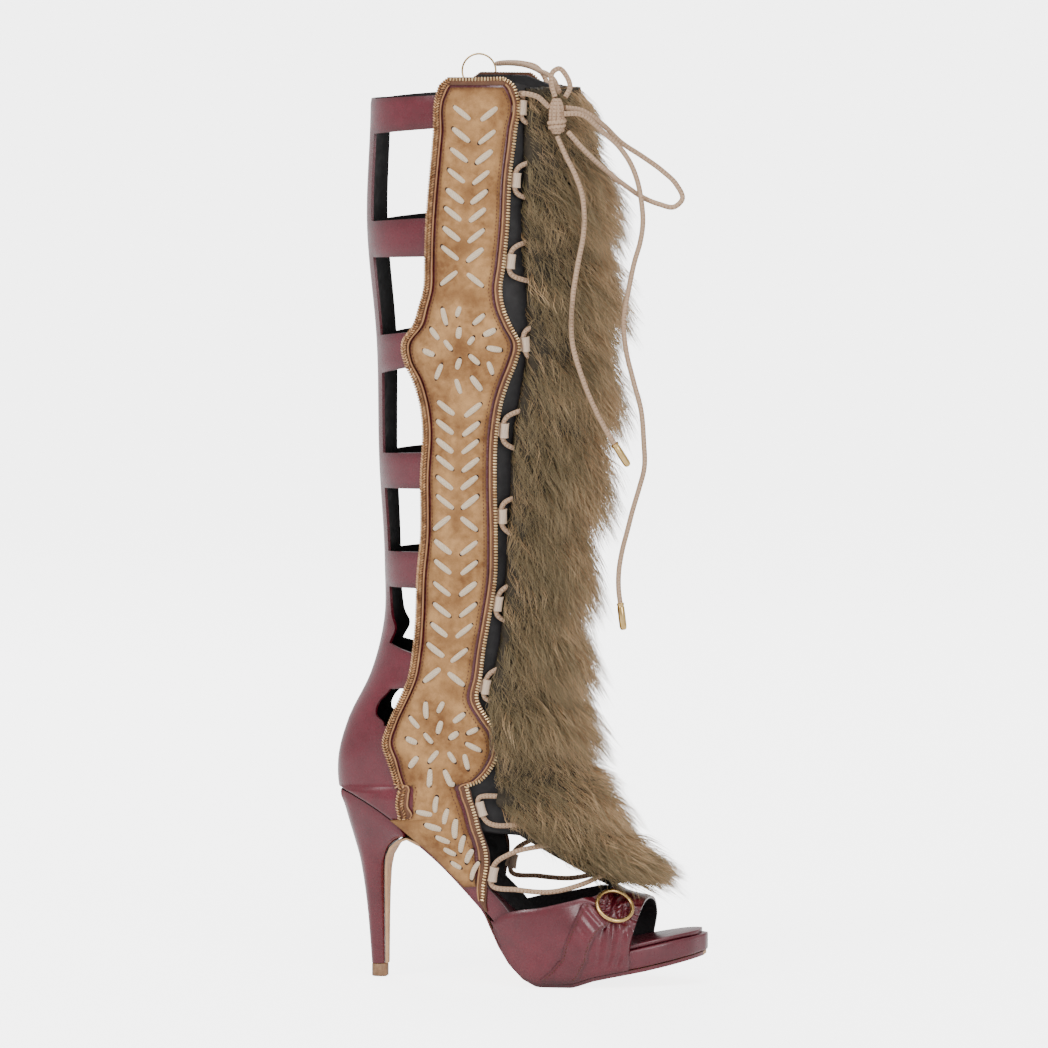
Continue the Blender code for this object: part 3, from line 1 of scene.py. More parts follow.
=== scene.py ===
"""Dresses the knee-high sandal: leather, suede, stitching, lacing, fur, metal and studio.

Metres, +Z up, +X to the toe and +Y to the inner side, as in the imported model. Most walls are
sheets over one leg and foot form, whose points are worked out as whole arrays from the share
tables below, the same ones that the solids were made from.
"""

import logging
from collections.abc import Callable
from dataclasses import dataclass
from enum import Enum
from typing import NamedTuple

import bpy
import numpy as np
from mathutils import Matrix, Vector


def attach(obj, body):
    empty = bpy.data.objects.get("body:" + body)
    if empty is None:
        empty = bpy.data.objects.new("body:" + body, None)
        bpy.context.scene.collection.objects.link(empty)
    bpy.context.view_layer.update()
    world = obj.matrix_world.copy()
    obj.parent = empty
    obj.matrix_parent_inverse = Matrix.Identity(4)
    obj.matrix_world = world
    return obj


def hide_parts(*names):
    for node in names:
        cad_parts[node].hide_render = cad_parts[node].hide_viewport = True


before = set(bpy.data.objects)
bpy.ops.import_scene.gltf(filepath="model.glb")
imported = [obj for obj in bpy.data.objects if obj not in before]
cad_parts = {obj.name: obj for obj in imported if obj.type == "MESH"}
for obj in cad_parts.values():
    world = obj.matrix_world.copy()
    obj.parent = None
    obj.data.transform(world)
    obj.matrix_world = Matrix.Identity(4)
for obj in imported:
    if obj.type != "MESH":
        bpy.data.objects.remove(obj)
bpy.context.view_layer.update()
LOG = logging.getLogger("sandal")
TINY = 1e-9


class SoleRow(NamedTuple):
    """Top of the sole: share of the length, lift, and the two half widths as shares."""

    along: float
    lift: float
    lateral: float
    medial: float


SOLE_ROWS = tuple(SoleRow(*row) for row in (
    (0.000, 1.000, 0.000, 0.000), (0.013, 0.993, 0.150, 0.150), (0.048, 0.966, 0.263, 0.263),
    (0.108, 0.898, 0.338, 0.331), (0.199, 0.757, 0.363, 0.338), (0.294, 0.576, 0.344, 0.294),
    (0.364, 0.421, 0.369, 0.300), (0.429, 0.270, 0.413, 0.350), (0.476, 0.160, 0.450, 0.400),
    (0.520, 0.082, 0.475, 0.438), (0.563, 0.034, 0.494, 0.469), (0.620, 0.006, 0.500, 0.488),
    (0.693, 0.016, 0.481, 0.500), (0.780, 0.044, 0.431, 0.488), (0.866, 0.086, 0.344, 0.438),
    (0.931, 0.116, 0.238, 0.356), (0.974, 0.130, 0.113, 0.256), (1.000, 0.136, -0.050, 0.138)))


class GroundRow(NamedTuple):
    """Underside of the outsole: share of the length and height as a share of the platform's."""

    along: float
    height: float


GROUND_ROWS = tuple(GroundRow(*row) for row in (
    (0.420, 2.560), (0.437, 2.060), (0.459, 1.440), (0.489, 0.800), (0.528, 0.270), (0.563, 0.030),
    (0.576, 0.000), (0.662, 0.000), (0.675, 0.040), (0.719, 0.240), (0.762, 0.360), (0.853, 0.590),
    (0.913, 0.770), (0.965, 0.940), (1.000, 1.050)))


class FormRow(NamedTuple):
    """Section of the leg and foot: level, back, front, lift of the front, width and bluntness."""

    rise: float
    back: float
    front: float
    lift: float
    width: float
    blunt: float


FORM_ROWS = tuple(FormRow(*row) for row in (
    (1.000, 0.089, 0.610, 0.000, 0.930, 1.00), (0.965, 0.090, 0.619, 0.000, 0.947, 1.00),
    (0.790, 0.080, 0.641, 0.000, 1.000, 1.00), (0.627, 0.106, 0.645, 0.000, 0.965, 1.00),
    (0.460, 0.112, 0.606, 0.000, 0.860, 1.00), (0.318, 0.126, 0.567, 0.000, 0.737, 1.00),
    (0.232, 0.123, 0.550, 0.015, 0.667, 1.00), (0.160, 0.087, 0.556, 0.065, 0.632, 1.00),
    (0.092, 0.024, 0.576, 0.095, 0.605, 0.90), (0.035, -0.003, 0.602, 0.100, 0.588, 0.82),
    (0.000, 0.000, 0.628, 0.088, 0.579, 0.80), (-0.108, 0.108, 0.658, 0.030, 0.579, 0.88),
    (-0.199, 0.199, 0.688, 0.015, 0.588, 1.00), (-0.294, 0.294, 0.723, 0.045, 0.596, 1.00),
    (-0.364, 0.364, 0.753, 0.095, 0.614, 1.00), (-0.429, 0.429, 0.784, 0.162, 0.632, 1.00),
    (-0.476, 0.476, 0.810, 0.205, 0.650, 1.00)))


class PanelRow(NamedTuple):
    """Edges of the side panel at a level, as ways around from the back (0) to the front (1)."""

    rise: float
    back: float
    front: float


PANEL_ROWS = tuple(PanelRow(*row) for row in (
    (1.000, 0.492, 0.668), (0.990, 0.462, 0.702), (0.975, 0.447, 0.714), (0.920, 0.434, 0.697),
    (0.865, 0.424, 0.677), (0.790, 0.411, 0.664), (0.740, 0.401, 0.648), (0.705, 0.390, 0.634),
    (0.680, 0.368, 0.640), (0.655, 0.342, 0.662), (0.630, 0.294, 0.690), (0.605, 0.300, 0.680),
    (0.580, 0.334, 0.660), (0.550, 0.362, 0.642), (0.520, 0.376, 0.635), (0.440, 0.371, 0.641),
    (0.360, 0.366, 0.660), (0.300, 0.349, 0.669), (0.245, 0.346, 0.656), (0.195, 0.352, 0.640),
    (0.150, 0.357, 0.632), (0.115, 0.348, 0.625), (0.085, 0.333, 0.658), (0.060, 0.324, 0.686),
    (0.035, 0.343, 0.679), (0.012, 0.355, 0.636), (-0.013, 0.352, 0.567), (-0.056, 0.306, 0.536),
    (-0.108, 0.235, 0.515), (-0.150, 0.169, 0.494), (-0.190, 0.000, 0.470), (-0.230, 0.000, 0.448),
    (-0.270, 0.000, 0.420), (-0.314, 0.000, 0.367), (-0.364, 0.000, 0.272), (-0.395, 0.000, 0.195),
    (-0.425, 0.000, 0.085)))


class Band(Enum):
    """What lies between the spine and the panel below a level of the cage."""

    WING = (False, False, False)
    STRAP = (True, True, True)
    OPEN = (True, False, False)
    HOLE = (True, True, False)


class CageRow(NamedTuple):
    """Level of the cage: its rise at the spine and beside the panel, edge of the spine, inner
    mark, and the band below."""

    back: float
    side: float
    spine: float
    inner: float
    band: Band


CAGE_ROWS = tuple(CageRow(*row) for row in (
    (0.985, 0.997, 0.137, 0.285, Band.WING), (0.967, 0.975, 0.137, 0.285, Band.STRAP),
    (0.918, 0.929, 0.137, 0.280, Band.OPEN), (0.857, 0.867, 0.137, 0.275, Band.OPEN),
    (0.796, 0.805, 0.137, 0.270, Band.STRAP), (0.746, 0.751, 0.137, 0.265, Band.OPEN),
    (0.700, 0.705, 0.137, 0.255, Band.OPEN), (0.668, 0.675, 0.137, 0.245, Band.OPEN),
    (0.637, 0.645, 0.137, 0.230, Band.STRAP), (0.612, 0.620, 0.137, 0.215, Band.STRAP),
    (0.584, 0.596, 0.137, 0.220, Band.OPEN), (0.556, 0.565, 0.137, 0.230, Band.OPEN),
    (0.522, 0.530, 0.137, 0.240, Band.OPEN), (0.472, 0.477, 0.137, 0.250, Band.STRAP),
    (0.423, 0.426, 0.137, 0.250, Band.OPEN), (0.378, 0.382, 0.137, 0.250, Band.OPEN),
    (0.334, 0.337, 0.137, 0.245, Band.STRAP), (0.284, 0.285, 0.140, 0.240, Band.OPEN),
    (0.248, 0.240, 0.166, 0.250, Band.OPEN), (0.226, 0.214, 0.215, 0.280, Band.OPEN),
    (0.205, 0.189, 0.190, 0.280, Band.STRAP), (0.165, 0.160, 0.150, 0.270, Band.STRAP),
    (0.139, 0.138, 0.140, 0.283, Band.HOLE), (0.121, 0.119, 0.130, 0.252, Band.HOLE),
    (0.103, 0.101, 0.130, 0.262, Band.HOLE), (0.086, 0.084, 0.130, 0.312, Band.STRAP),
    (0.060, 0.060, 0.120, 0.230, Band.STRAP), (0.036, 0.036, 0.120, 0.230, Band.STRAP),
    (0.012, 0.012, 0.120, 0.230, Band.STRAP)))
FOOT_ROWS = ((0.000, 0.590), (-0.048, 0.530), (-0.108, 0.506), (-0.156, 0.482), (-0.199, 0.456),
             (-0.250, 0.424), (-0.294, 0.386), (-0.330, 0.328), (-0.364, 0.262), (-0.395, 0.258),
             (-0.425, 0.255), (-0.470, 0.235))
TONGUE_ROWS = ((-0.199, 0.580), (-0.250, 0.630), (-0.294, 0.680), (-0.330, 0.730),
               (-0.364, 0.775), (-0.395, 0.810), (-0.425, 0.850))


class FurRow(NamedTuple):
    """Fur over the tongue: level, its edge as a way around, and share of its full length."""

    rise: float
    edge: float
    length: float


FUR_ROWS = tuple(FurRow(*row) for row in (
    (0.985, 0.800, 0.50), (0.930, 0.780, 0.72), (0.870, 0.770, 0.95), (0.800, 0.760, 0.98),
    (0.630, 0.765, 1.02), (0.500, 0.740, 1.12), (0.400, 0.750, 1.05), (0.265, 0.760, 1.08),
    (0.133, 0.745, 1.00), (0.030, 0.770, 0.85), (-0.120, 0.700, 0.95), (-0.250, 0.720, 1.00),
    (-0.330, 0.780, 1.00), (-0.425, 0.860, 0.95)))


class VampRow(NamedTuple):
    """Ray of the vamp from its outer skirt (-1) to its inner skirt (1), with both ends."""

    ray: float
    back: float
    front: float


VAMP_ROWS = tuple(VampRow(*row) for row in (
    (-1.00, 0.478, 0.812), (-0.88, 0.462, 0.814), (-0.76, 0.452, 0.816), (-0.70, 0.510, 0.819),
    (-0.64, 0.580, 0.822), (-0.56, 0.648, 0.827), (-0.46, 0.698, 0.832), (-0.33, 0.730, 0.837),
    (-0.17, 0.745, 0.840), (0.00, 0.748, 0.842), (0.17, 0.745, 0.844), (0.33, 0.730, 0.845),
    (0.46, 0.698, 0.844), (0.56, 0.648, 0.842), (0.64, 0.580, 0.838), (0.70, 0.510, 0.834),
    (0.76, 0.452, 0.830), (0.88, 0.462, 0.826), (1.00, 0.478, 0.822)))


class ArchRow(NamedTuple):
    """Top of the vamp's arch: share of the length, height and ease."""

    along: float
    height: float
    ease: float


ARCH_ROWS = tuple(ArchRow(*row) for row in (
    (0.440, 0.980, 1.00), (0.541, 0.860, 1.00), (0.628, 0.670, 0.45), (0.693, 0.490, 0.10),
    (0.750, 0.327, 0.00), (0.800, 0.262, 0.00), (0.850, 0.218, 0.00)))
STRAP_STATIONS = ((-0.97, 0.628, 1.10), (-0.88, 0.648, 1.05), (-0.76, 0.670, 1.00),
                  (-0.70, 0.684, 0.92), (-0.64, 0.699, 0.82), (-0.56, 0.721, 0.72),
                  (-0.50, 0.738, 0.62))


class HeelRow(NamedTuple):
    """Section of the heel: back and front with their heights, half width and seat share."""

    back: float
    back_height: float
    front: float
    front_height: float
    width: float
    seat: float


HEEL_ROWS = tuple(HeelRow(*row) for row in (
    (0.012, 0.972, 0.199, 0.757, 0.338, 1.0), (0.020, 0.904, 0.170, 0.736, 0.300, 0.8),
    (0.030, 0.820, 0.145, 0.695, 0.250, 0.6), (0.043, 0.720, 0.130, 0.636, 0.194, 0.3),
    (0.056, 0.619, 0.125, 0.569, 0.156, 0.1), (0.067, 0.485, 0.1235, 0.460, 0.119, 0.0),
    (0.076, 0.335, 0.1230, 0.326, 0.088, 0.0), (0.083, 0.167, 0.1228, 0.167, 0.069, 0.0),
    (0.0865, 0.0695, 0.1225, 0.0695, 0.0625, 0.0)))

KEEPER_RISES = (0.957, 0.857, 0.745, 0.630, 0.510, 0.390, 0.265, 0.133, 0.030, -0.120, -0.335)
LACE_STEPS = (0.18, 0.34, 0.5, 0.66, 0.82)
BAR_STATIONS = ((0.60, 0.050), (0.48, 0.072), (0.34, 0.070), (0.20, 0.052), (0.07, 0.040),
                (-0.07, 0.040), (-0.20, 0.052), (-0.34, 0.070), (-0.48, 0.072), (-0.60, 0.050))

# Both ends of each embroidery stitch: rise, way around, rise, way around
STITCH_ROWS = (
    (0.9595, 0.5025, 0.9411, 0.5521), (0.9400, 0.5845, 0.9578, 0.6377), (0.9292, 0.4973, 0.9108, 0.5473),
    (0.9083, 0.5763, 0.9261, 0.6274), (0.9016, 0.4906, 0.8833, 0.5408), (0.8808, 0.5665, 0.8986, 0.6162),
    (0.8726, 0.4833, 0.8543, 0.5332), (0.8525, 0.5573, 0.8704, 0.6060), (0.8450, 0.4791, 0.8267, 0.5286),
    (0.8256, 0.5510, 0.8435, 0.5994), (0.8201, 0.4731, 0.8018, 0.5219), (0.8007, 0.5457, 0.8187, 0.5942),
    (0.7925, 0.4675, 0.7742, 0.5154), (0.7717, 0.5390, 0.7897, 0.5882), (0.7662, 0.4604, 0.7479, 0.5079),
    (0.7455, 0.5330, 0.7634, 0.5828), (0.5505, 0.4300, 0.5324, 0.4868), (0.5300, 0.5212, 0.5483, 0.5703),
    (0.5239, 0.4288, 0.5058, 0.4864), (0.5034, 0.5182, 0.5218, 0.5679), (0.4974, 0.4309, 0.4792, 0.4891),
    (0.4782, 0.5179, 0.4966, 0.5686), (0.4736, 0.4325, 0.4553, 0.4909), (0.4530, 0.5218, 0.4713, 0.5739),
    (0.4455, 0.4334, 0.4274, 0.4925), (0.4278, 0.5187, 0.4461, 0.5720), (0.4190, 0.4336, 0.4008, 0.4938),
    (0.4012, 0.5240, 0.4196, 0.5785), (0.3556, 0.4257, 0.3373, 0.4898), (0.3364, 0.5256, 0.3550, 0.5831),
    (0.3272, 0.4263, 0.3088, 0.4921), (0.3078, 0.5285, 0.3265, 0.5870), (0.2959, 0.4235, 0.2773, 0.4907),
    (0.2778, 0.5278, 0.2964, 0.5875), (0.2658, 0.4250, 0.2468, 0.4942), (0.2471, 0.5317, 0.2662, 0.5919),
    (0.2365, 0.4187, 0.2166, 0.4902), (0.2151, 0.5219, 0.2350, 0.5811), (0.2063, 0.4110, 0.1852, 0.4832),
    (0.1764, 0.5121, 0.1962, 0.5681), (0.7130, 0.4492, 0.7318, 0.5027), (0.7289, 0.5307, 0.7108, 0.5763),
    (0.3705, 0.4218, 0.3900, 0.4835), (0.3886, 0.5214, 0.3705, 0.5811), (0.1477, 0.4239, 0.1672, 0.4760),
    (0.1602, 0.5059, 0.1384, 0.5694), (0.6806, 0.4488, 0.6572, 0.4590), (0.6835, 0.5042, 0.6690, 0.4918),
    (0.6585, 0.5409, 0.6721, 0.5758), (0.6433, 0.5716, 0.6511, 0.6083), (0.6524, 0.4060, 0.6370, 0.4323),
    (0.6543, 0.4990, 0.6383, 0.4935), (0.6303, 0.5243, 0.6410, 0.5416), (0.6357, 0.4501, 0.6222, 0.4741),
    (0.6213, 0.3772, 0.6149, 0.4161), (0.6259, 0.5810, 0.6223, 0.6270), (0.6158, 0.5270, 0.6031, 0.5588),
    (0.6109, 0.4994, 0.5957, 0.4890), (0.6068, 0.5858, 0.5887, 0.6016), (0.6024, 0.4411, 0.5816, 0.4217),
    (0.5823, 0.4874, 0.5619, 0.5047), (0.5859, 0.5345, 0.5665, 0.5692), (0.1170, 0.4497, 0.0922, 0.4614),
    (0.1154, 0.5085, 0.0997, 0.4951), (0.0838, 0.5450, 0.0956, 0.5798), (0.0656, 0.5857, 0.0716, 0.6199),
    (0.0965, 0.4053, 0.0789, 0.4416), (0.0871, 0.5087, 0.0689, 0.4991), (0.0603, 0.5331, 0.0685, 0.5597),
    (0.0706, 0.4586, 0.0560, 0.4843), (0.0655, 0.4036, 0.0574, 0.4382), (0.0521, 0.5804, 0.0398, 0.6217),
    (0.0443, 0.5000, 0.0294, 0.4690), (0.0424, 0.5278, 0.0271, 0.5432), (0.0372, 0.5728, 0.0166, 0.5740),
    (0.0383, 0.4398, 0.0242, 0.4120), (0.0200, 0.4702, -0.0140, 0.4513), (0.0178, 0.5086, -0.0095, 0.5202),
    (-0.0668, 0.4296, -0.1300, 0.3680), (-0.1263, 0.3016, -0.1386, 0.3484),
    (-0.1173, 0.4227, -0.1725, 0.3547), (-0.1731, 0.2741, -0.1910, 0.3212),
    (-0.1553, 0.4159, -0.2201, 0.3411), (-0.2148, 0.2618, -0.2340, 0.2995),
    (-0.2123, 0.3880, -0.2659, 0.3027), (-0.2531, 0.2358, -0.2736, 0.2654),
    (-0.2581, 0.3674, -0.2987, 0.2782), (-0.2945, 0.1919, -0.3134, 0.2185),
    (-0.2973, 0.3437, -0.3452, 0.2157))

# Free lace: points in metres, the routes of the solids
OUTER_TIE = ((0.0985, -0.0505, 0.5525), (0.1040, -0.0515, 0.5525), (0.1105, -0.0500, 0.5490),
             (0.1149, -0.0467, 0.5442))
INNER_TIE = ((0.1200, -0.0385, 0.5530), (0.1150, -0.0315, 0.5610), (0.1050, -0.0190, 0.5650),
             (0.0950, 0.0000, 0.5675), (0.0840, 0.0180, 0.5685), (0.0740, 0.0310, 0.5685),
             (0.0675, 0.0380, 0.5680), (0.0720, 0.0455, 0.5685), (0.0820, 0.0485, 0.5680),
             (0.0915, 0.0485, 0.5650), (0.0965, 0.0480, 0.5580))
SMALL_LOOP = ((0.1185, -0.0450, 0.5502), (0.1160, -0.0430, 0.5580), (0.1165, -0.0410, 0.5655),
              (0.1200, -0.0395, 0.5675), (0.1245, -0.0390, 0.5630), (0.1270, -0.0400, 0.5560),
              (0.1245, -0.0430, 0.5500))
LARGE_LOOP = ((0.1244, -0.0432, 0.5436), (0.1330, -0.0360, 0.5420), (0.1450, -0.0270, 0.5330),
              (0.1560, -0.0210, 0.5215), (0.1685, -0.0180, 0.5130), (0.1810, -0.0170, 0.5040),
              (0.1895, -0.0180, 0.4960), (0.1935, -0.0200, 0.4870), (0.1890, -0.0220, 0.4825),
              (0.1795, -0.0215, 0.4840), (0.1690, -0.0200, 0.4880), (0.1590, -0.0230, 0.4950),
              (0.1470, -0.0330, 0.5060), (0.1360, -0.0430, 0.5180), (0.1265, -0.0455, 0.5290))
SHORT_END = ((0.1198, -0.0450, 0.5262), (0.1250, -0.0460, 0.5150), (0.1310, -0.0460, 0.5030),
             (0.1355, -0.0460, 0.4900), (0.1370, -0.0470, 0.4770), (0.1365, -0.0490, 0.4640),
             (0.1340, -0.0505, 0.4500), (0.1305, -0.0515, 0.4260), (0.1300, -0.0500, 0.4010),
             (0.1355, -0.0470, 0.3790), (0.1425, -0.0430, 0.3600), (0.1500, -0.0380, 0.3440),
             (0.1540, -0.0355, 0.3370))
LONG_END = ((0.1245, -0.0480, 0.5400), (0.1330, -0.0450, 0.5400), (0.1460, -0.0350, 0.5290),
            (0.1560, -0.0290, 0.5190), (0.1625, -0.0270, 0.5090), (0.1665, -0.0260, 0.4985),
            (0.1690, -0.0260, 0.4860), (0.1700, -0.0260, 0.4730), (0.1680, -0.0250, 0.4600),
            (0.1650, -0.0250, 0.4500), (0.1610, -0.0255, 0.4310), (0.1580, -0.0260, 0.4120),
            (0.1595, -0.0255, 0.3940), (0.1640, -0.0245, 0.3750), (0.1685, -0.0230, 0.3570),
            (0.1700, -0.0220, 0.3385), (0.1700, -0.0200, 0.3210), (0.1665, -0.0190, 0.3080),
            (0.1625, -0.0180, 0.2950), (0.1590, -0.0170, 0.2820), (0.1555, -0.0160, 0.2690),
            (0.1535, -0.0160, 0.2560), (0.1535, -0.0160, 0.2450), (0.1545, -0.0160, 0.2370))


# Curves and vectors ---------------------------------------------------------------------------

def through(keys: np.ndarray, values: np.ndarray, at: np.ndarray) -> np.ndarray:
    """Cubic curve through values at rising keys, with slopes from the neighbours' difference.

    Args:
        keys: rising numbers, (n,).
        values: numbers or points at the keys, (n, ...).
        at: where to read the curve, any shape, held between the first and last key.

    Returns:
        Values of the curve, of at's shape followed by one value's shape.
    """
    keys, values = np.asarray(keys, float), np.asarray(values, float)
    held = np.clip(np.asarray(at, float), keys[0], keys[-1])
    slopes = np.gradient(values, keys, axis=0)
    index = np.clip(np.searchsorted(keys, held) - 1, 0, len(keys) - 2)
    extra = (1,) * (values.ndim - 1)
    span = (keys[index + 1] - keys[index]).reshape(held.shape + extra)
    t = ((held - keys[index])).reshape(held.shape + extra) / span
    start = (2 * t**3 - 3 * t**2 + 1) * values[index] + (t**3 - 2 * t**2 + t) * span * slopes[index]
    end = (3 * t**2 - 2 * t**3) * values[index + 1] + (t**3 - t**2) * span * slopes[index + 1]
    return start + end


def read_smooth(key: np.ndarray, rows: tuple, column: str) -> np.ndarray:
    """Read a table's column at a key, on the cubic curve through its rows.

    Args:
        key: where to read, in the table's first column.
        rows: named rows, rising or falling in their first column.
        column: name of the column.

    Returns:
        The values read, of the key's shape.
    """
    order = slice(None, None, 1 if rows[0][0] < rows[-1][0] else -1)
    keys = np.array([row[0] for row in rows], float)[order]
    values = np.array([getattr(row, column) for row in rows], float)[order]
    return through(keys, values, key)


def read_straight(key: np.ndarray, rows: tuple, column: int) -> np.ndarray:
    """Read a table's column at a key, on straight lines between its rows.

    Args:
        key: where to read, in the table's first column.
        rows: rows in any order.
        column: number of the column.

    Returns:
        The values read, of the key's shape.
    """
    ordered = sorted(rows, key=lambda row: row[0])
    return np.interp(key, [row[0] for row in ordered], [row[column] for row in ordered])


def unit(vectors: np.ndarray) -> np.ndarray:
    """Vectors divided by their lengths."""
    return vectors / np.maximum(np.linalg.norm(vectors, axis=-1, keepdims=True), 1e-12)


def run_of(points: np.ndarray) -> np.ndarray:
    """Length run from the first point to each point of a path."""
    return np.concatenate([[0.0], np.cumsum(np.linalg.norm(np.diff(points, axis=0), axis=1))])


def spaced(route: np.ndarray, step: float) -> np.ndarray:
    """Points an equal step apart on the cubic curve through a route's points.

    Args:
        route: points, (n, 3).
        step: distance wanted between the new points.

    Returns:
        The new points, both ends kept.
    """
    knots = np.asarray(route, float)
    key = run_of(knots)
    dense = through(key, knots, np.linspace(0.0, key[-1], 24 * len(knots)))
    run = run_of(dense)
    stops = np.linspace(0.0, run[-1], max(int(round(run[-1] / step)), 2) + 1)
    return np.column_stack([np.interp(stops, run, dense[:, axis]) for axis in range(3)])


def ripple(points: np.ndarray, seed: float) -> np.ndarray:
    """Smooth uneven value between about -1 and 1: a sum of sines of turned coordinates.

    Args:
        points: places, (..., 3), already scaled so that one unit is one swell.
        seed: number that moves the pattern.

    Returns:
        One value for each place.
    """
    x, y, z = points[..., 0], points[..., 1], points[..., 2]
    return (np.sin(2.1 * x + 1.3 * y + seed) + np.sin(1.7 * y - 2.3 * z + 2 * seed)
            + np.sin(1.9 * z + 1.1 * x + 3 * seed)) / 3


# Leg and foot form ----------------------------------------------------------------------------

@dataclass(frozen=True)
class LegForm:
    """Surface of the leg and foot, as a function of a level and a way around it."""

    shoe_length: float = 0.231
    shaft_height: float = 0.562
    seat_height: float = 0.1195
    platform_height: float = 0.0168
    calf_width: float = 0.114
    ball_width: float = 0.080
    heel_setback: float = 0.025
    outsole_thickness: float = 0.0026
    gap: float = 0.0003

    @property
    def leg_height(self) -> float:
        """Height of the shaft's edge over the seat."""
        return self.shaft_height - self.seat_height

    def x_of(self, along: np.ndarray) -> np.ndarray:
        """X of a share of the shoe's length."""
        return np.asarray(along, float) * self.shoe_length - self.heel_setback

    def sole_top(self, along: np.ndarray) -> np.ndarray:
        """Height of the sole's top: the platform plus the heel's lift times its share."""
        lift = self.seat_height - self.platform_height
        return self.platform_height + lift * read_smooth(along, SOLE_ROWS, "lift")

    def sole_bottom(self, along: np.ndarray) -> np.ndarray:
        """Height of the outsole's underside: the ground line, or the arch where that is lower."""
        arch = self.sole_top(along) - self.outsole_thickness
        ground = self.platform_height * read_straight(along, GROUND_ROWS, 1)
        return np.where(np.asarray(along) >= GROUND_ROWS[0].along, np.minimum(ground, arch), arch)

    def half_width(self, along: np.ndarray, side: str) -> np.ndarray:
        """Distance from the middle line to the sole's edge on one side."""
        return self.ball_width * read_smooth(along, SOLE_ROWS, side)

    def point(self, rise: np.ndarray, around: np.ndarray) -> np.ndarray:
        """Point of the form.

        X runs from the back to the front with (1 - cos a) / 2, and Y is the root of the sole's
        edge, faded to the front, plus the section's bulge, a power of sin a; a is pi times the
        way around.

        Args:
            rise: level: share of the leg's height, or minus the share of the sole's length.
            around: way around, negative on the outer side, 0 at the back and 1 at the front.

        Returns:
            Points, (..., 3).
        """
        rise, around = np.broadcast_arrays(np.asarray(rise, float), np.asarray(around, float))
        leg = rise >= 0
        back = np.where(leg, read_smooth(rise, FORM_ROWS, "back"), -rise)
        back_z = np.where(leg, self.seat_height + rise * self.leg_height, self.sole_top(back)) + self.gap
        front_x = self.x_of(read_smooth(rise, FORM_ROWS, "front"))
        lift = self.seat_height * read_smooth(rise, FORM_ROWS, "lift")
        half = self.calf_width / 2 * read_smooth(rise, FORM_ROWS, "width")
        wide = np.where(around < 0, read_smooth(back, SOLE_ROWS, "lateral"),
                        read_smooth(back, SOLE_ROWS, "medial"))
        edge = self.ball_width * np.where(leg, 0.0, np.maximum(wide, 0.0))
        angle = np.pi * np.abs(around)
        share = (1 - np.cos(angle)) / 2
        power = 2 * read_smooth(rise, FORM_ROWS, "blunt")
        bulge = np.maximum(half**2 - edge**2 / 4, 0) * np.maximum(np.sin(angle), 0) ** power
        y = np.sqrt(edge**2 * (1 - share) ** 2 + bulge) * np.where(around < 0, -1.0, 1.0)
        back_x = self.x_of(back)
        return np.stack([back_x + (front_x - back_x) * share, y, back_z + lift * share], -1)

    def normal(self, rise: np.ndarray, around: np.ndarray) -> np.ndarray:
        """Outward unit normal: the cross product of the steps up and around the form.

        Args:
            rise: level, as in point.
            around: way around, as in point.

        Returns:
            Unit vectors, (..., 3).
        """
        rise, around = np.broadcast_arrays(np.asarray(rise, float), np.asarray(around, float))
        side = np.where(around < 0, -1.0, 1.0)
        far = side * np.clip(np.abs(around) + 1e-3, TINY, 1.0)
        near = side * np.clip(np.abs(around) - 1e-3, TINY, 1.0)
        along_around = (self.point(rise, far) - self.point(rise, near)) * side[..., None]
        along_rise = self.point(rise + 2e-3, around) - self.point(rise - 2e-3, around)
        normal = np.cross(along_rise, along_around)
        on_edge = (rise < 0) & (np.abs(around) < 1e-6)
        normal[..., 2] = np.where(on_edge, 0.0, normal[..., 2])
        return normal / np.maximum(np.linalg.norm(normal, axis=-1, keepdims=True), TINY**2)

    def lifted(self, rise: np.ndarray, around: np.ndarray, height: np.ndarray) -> np.ndarray:
        """Point at a height over the form, along its normal."""
        return self.point(rise, around) + self.normal(rise, around) * np.asarray(height)[..., None]

    def reach(self, rise: np.ndarray, around: np.ndarray) -> np.ndarray:
        """Way around that one metre along the outer side takes.

        Args:
            rise: level, as in point.
            around: way around, without its sign.

        Returns:
            Ways around for each metre.
        """
        ahead = np.minimum(np.abs(around) + 5e-3, 1.0)
        behind = np.maximum(np.abs(around) - 5e-3, TINY)
        step = np.linalg.norm(self.point(rise, -ahead) - self.point(rise, -behind), axis=-1)
        return (ahead - behind) / np.maximum(step, TINY)

    def down(self, rise: np.ndarray, around: np.ndarray) -> np.ndarray:
        """Unit direction down the form."""
        return unit(self.point(rise - 4e-3, around) - self.point(rise + 4e-3, around))

    def levels(self, start: float, stop: float, step: float) -> np.ndarray:
        """Falling levels about a step apart on the surface, with one at the seat.

        Args:
            start: first level.
            stop: last level.
            step: distance wanted between levels.

        Returns:
            The levels.
        """
        high = max(start, 0.0) * self.leg_height
        low = -min(stop, 0.0) * self.shoe_length
        span = high - max(stop, 0) * self.leg_height
        leg = np.linspace(start, max(stop, 0.0), max(int(span / step), 1) + 1)
        foot = np.linspace(min(start, 0.0), stop, max(int(low / step), 1) + 1)
        return np.concatenate([leg if start > 0 else leg[:0], foot[(start > 0):] if stop < 0 else foot[:0]])


FORM = LegForm()


def front_way(offset: np.ndarray) -> np.ndarray:
    """Way around for an offset from the front's middle, negative on the outer side."""
    return np.where(offset < 0, -(1 + offset), 1 - offset)


# Meshes ---------------------------------------------------------------------------------------

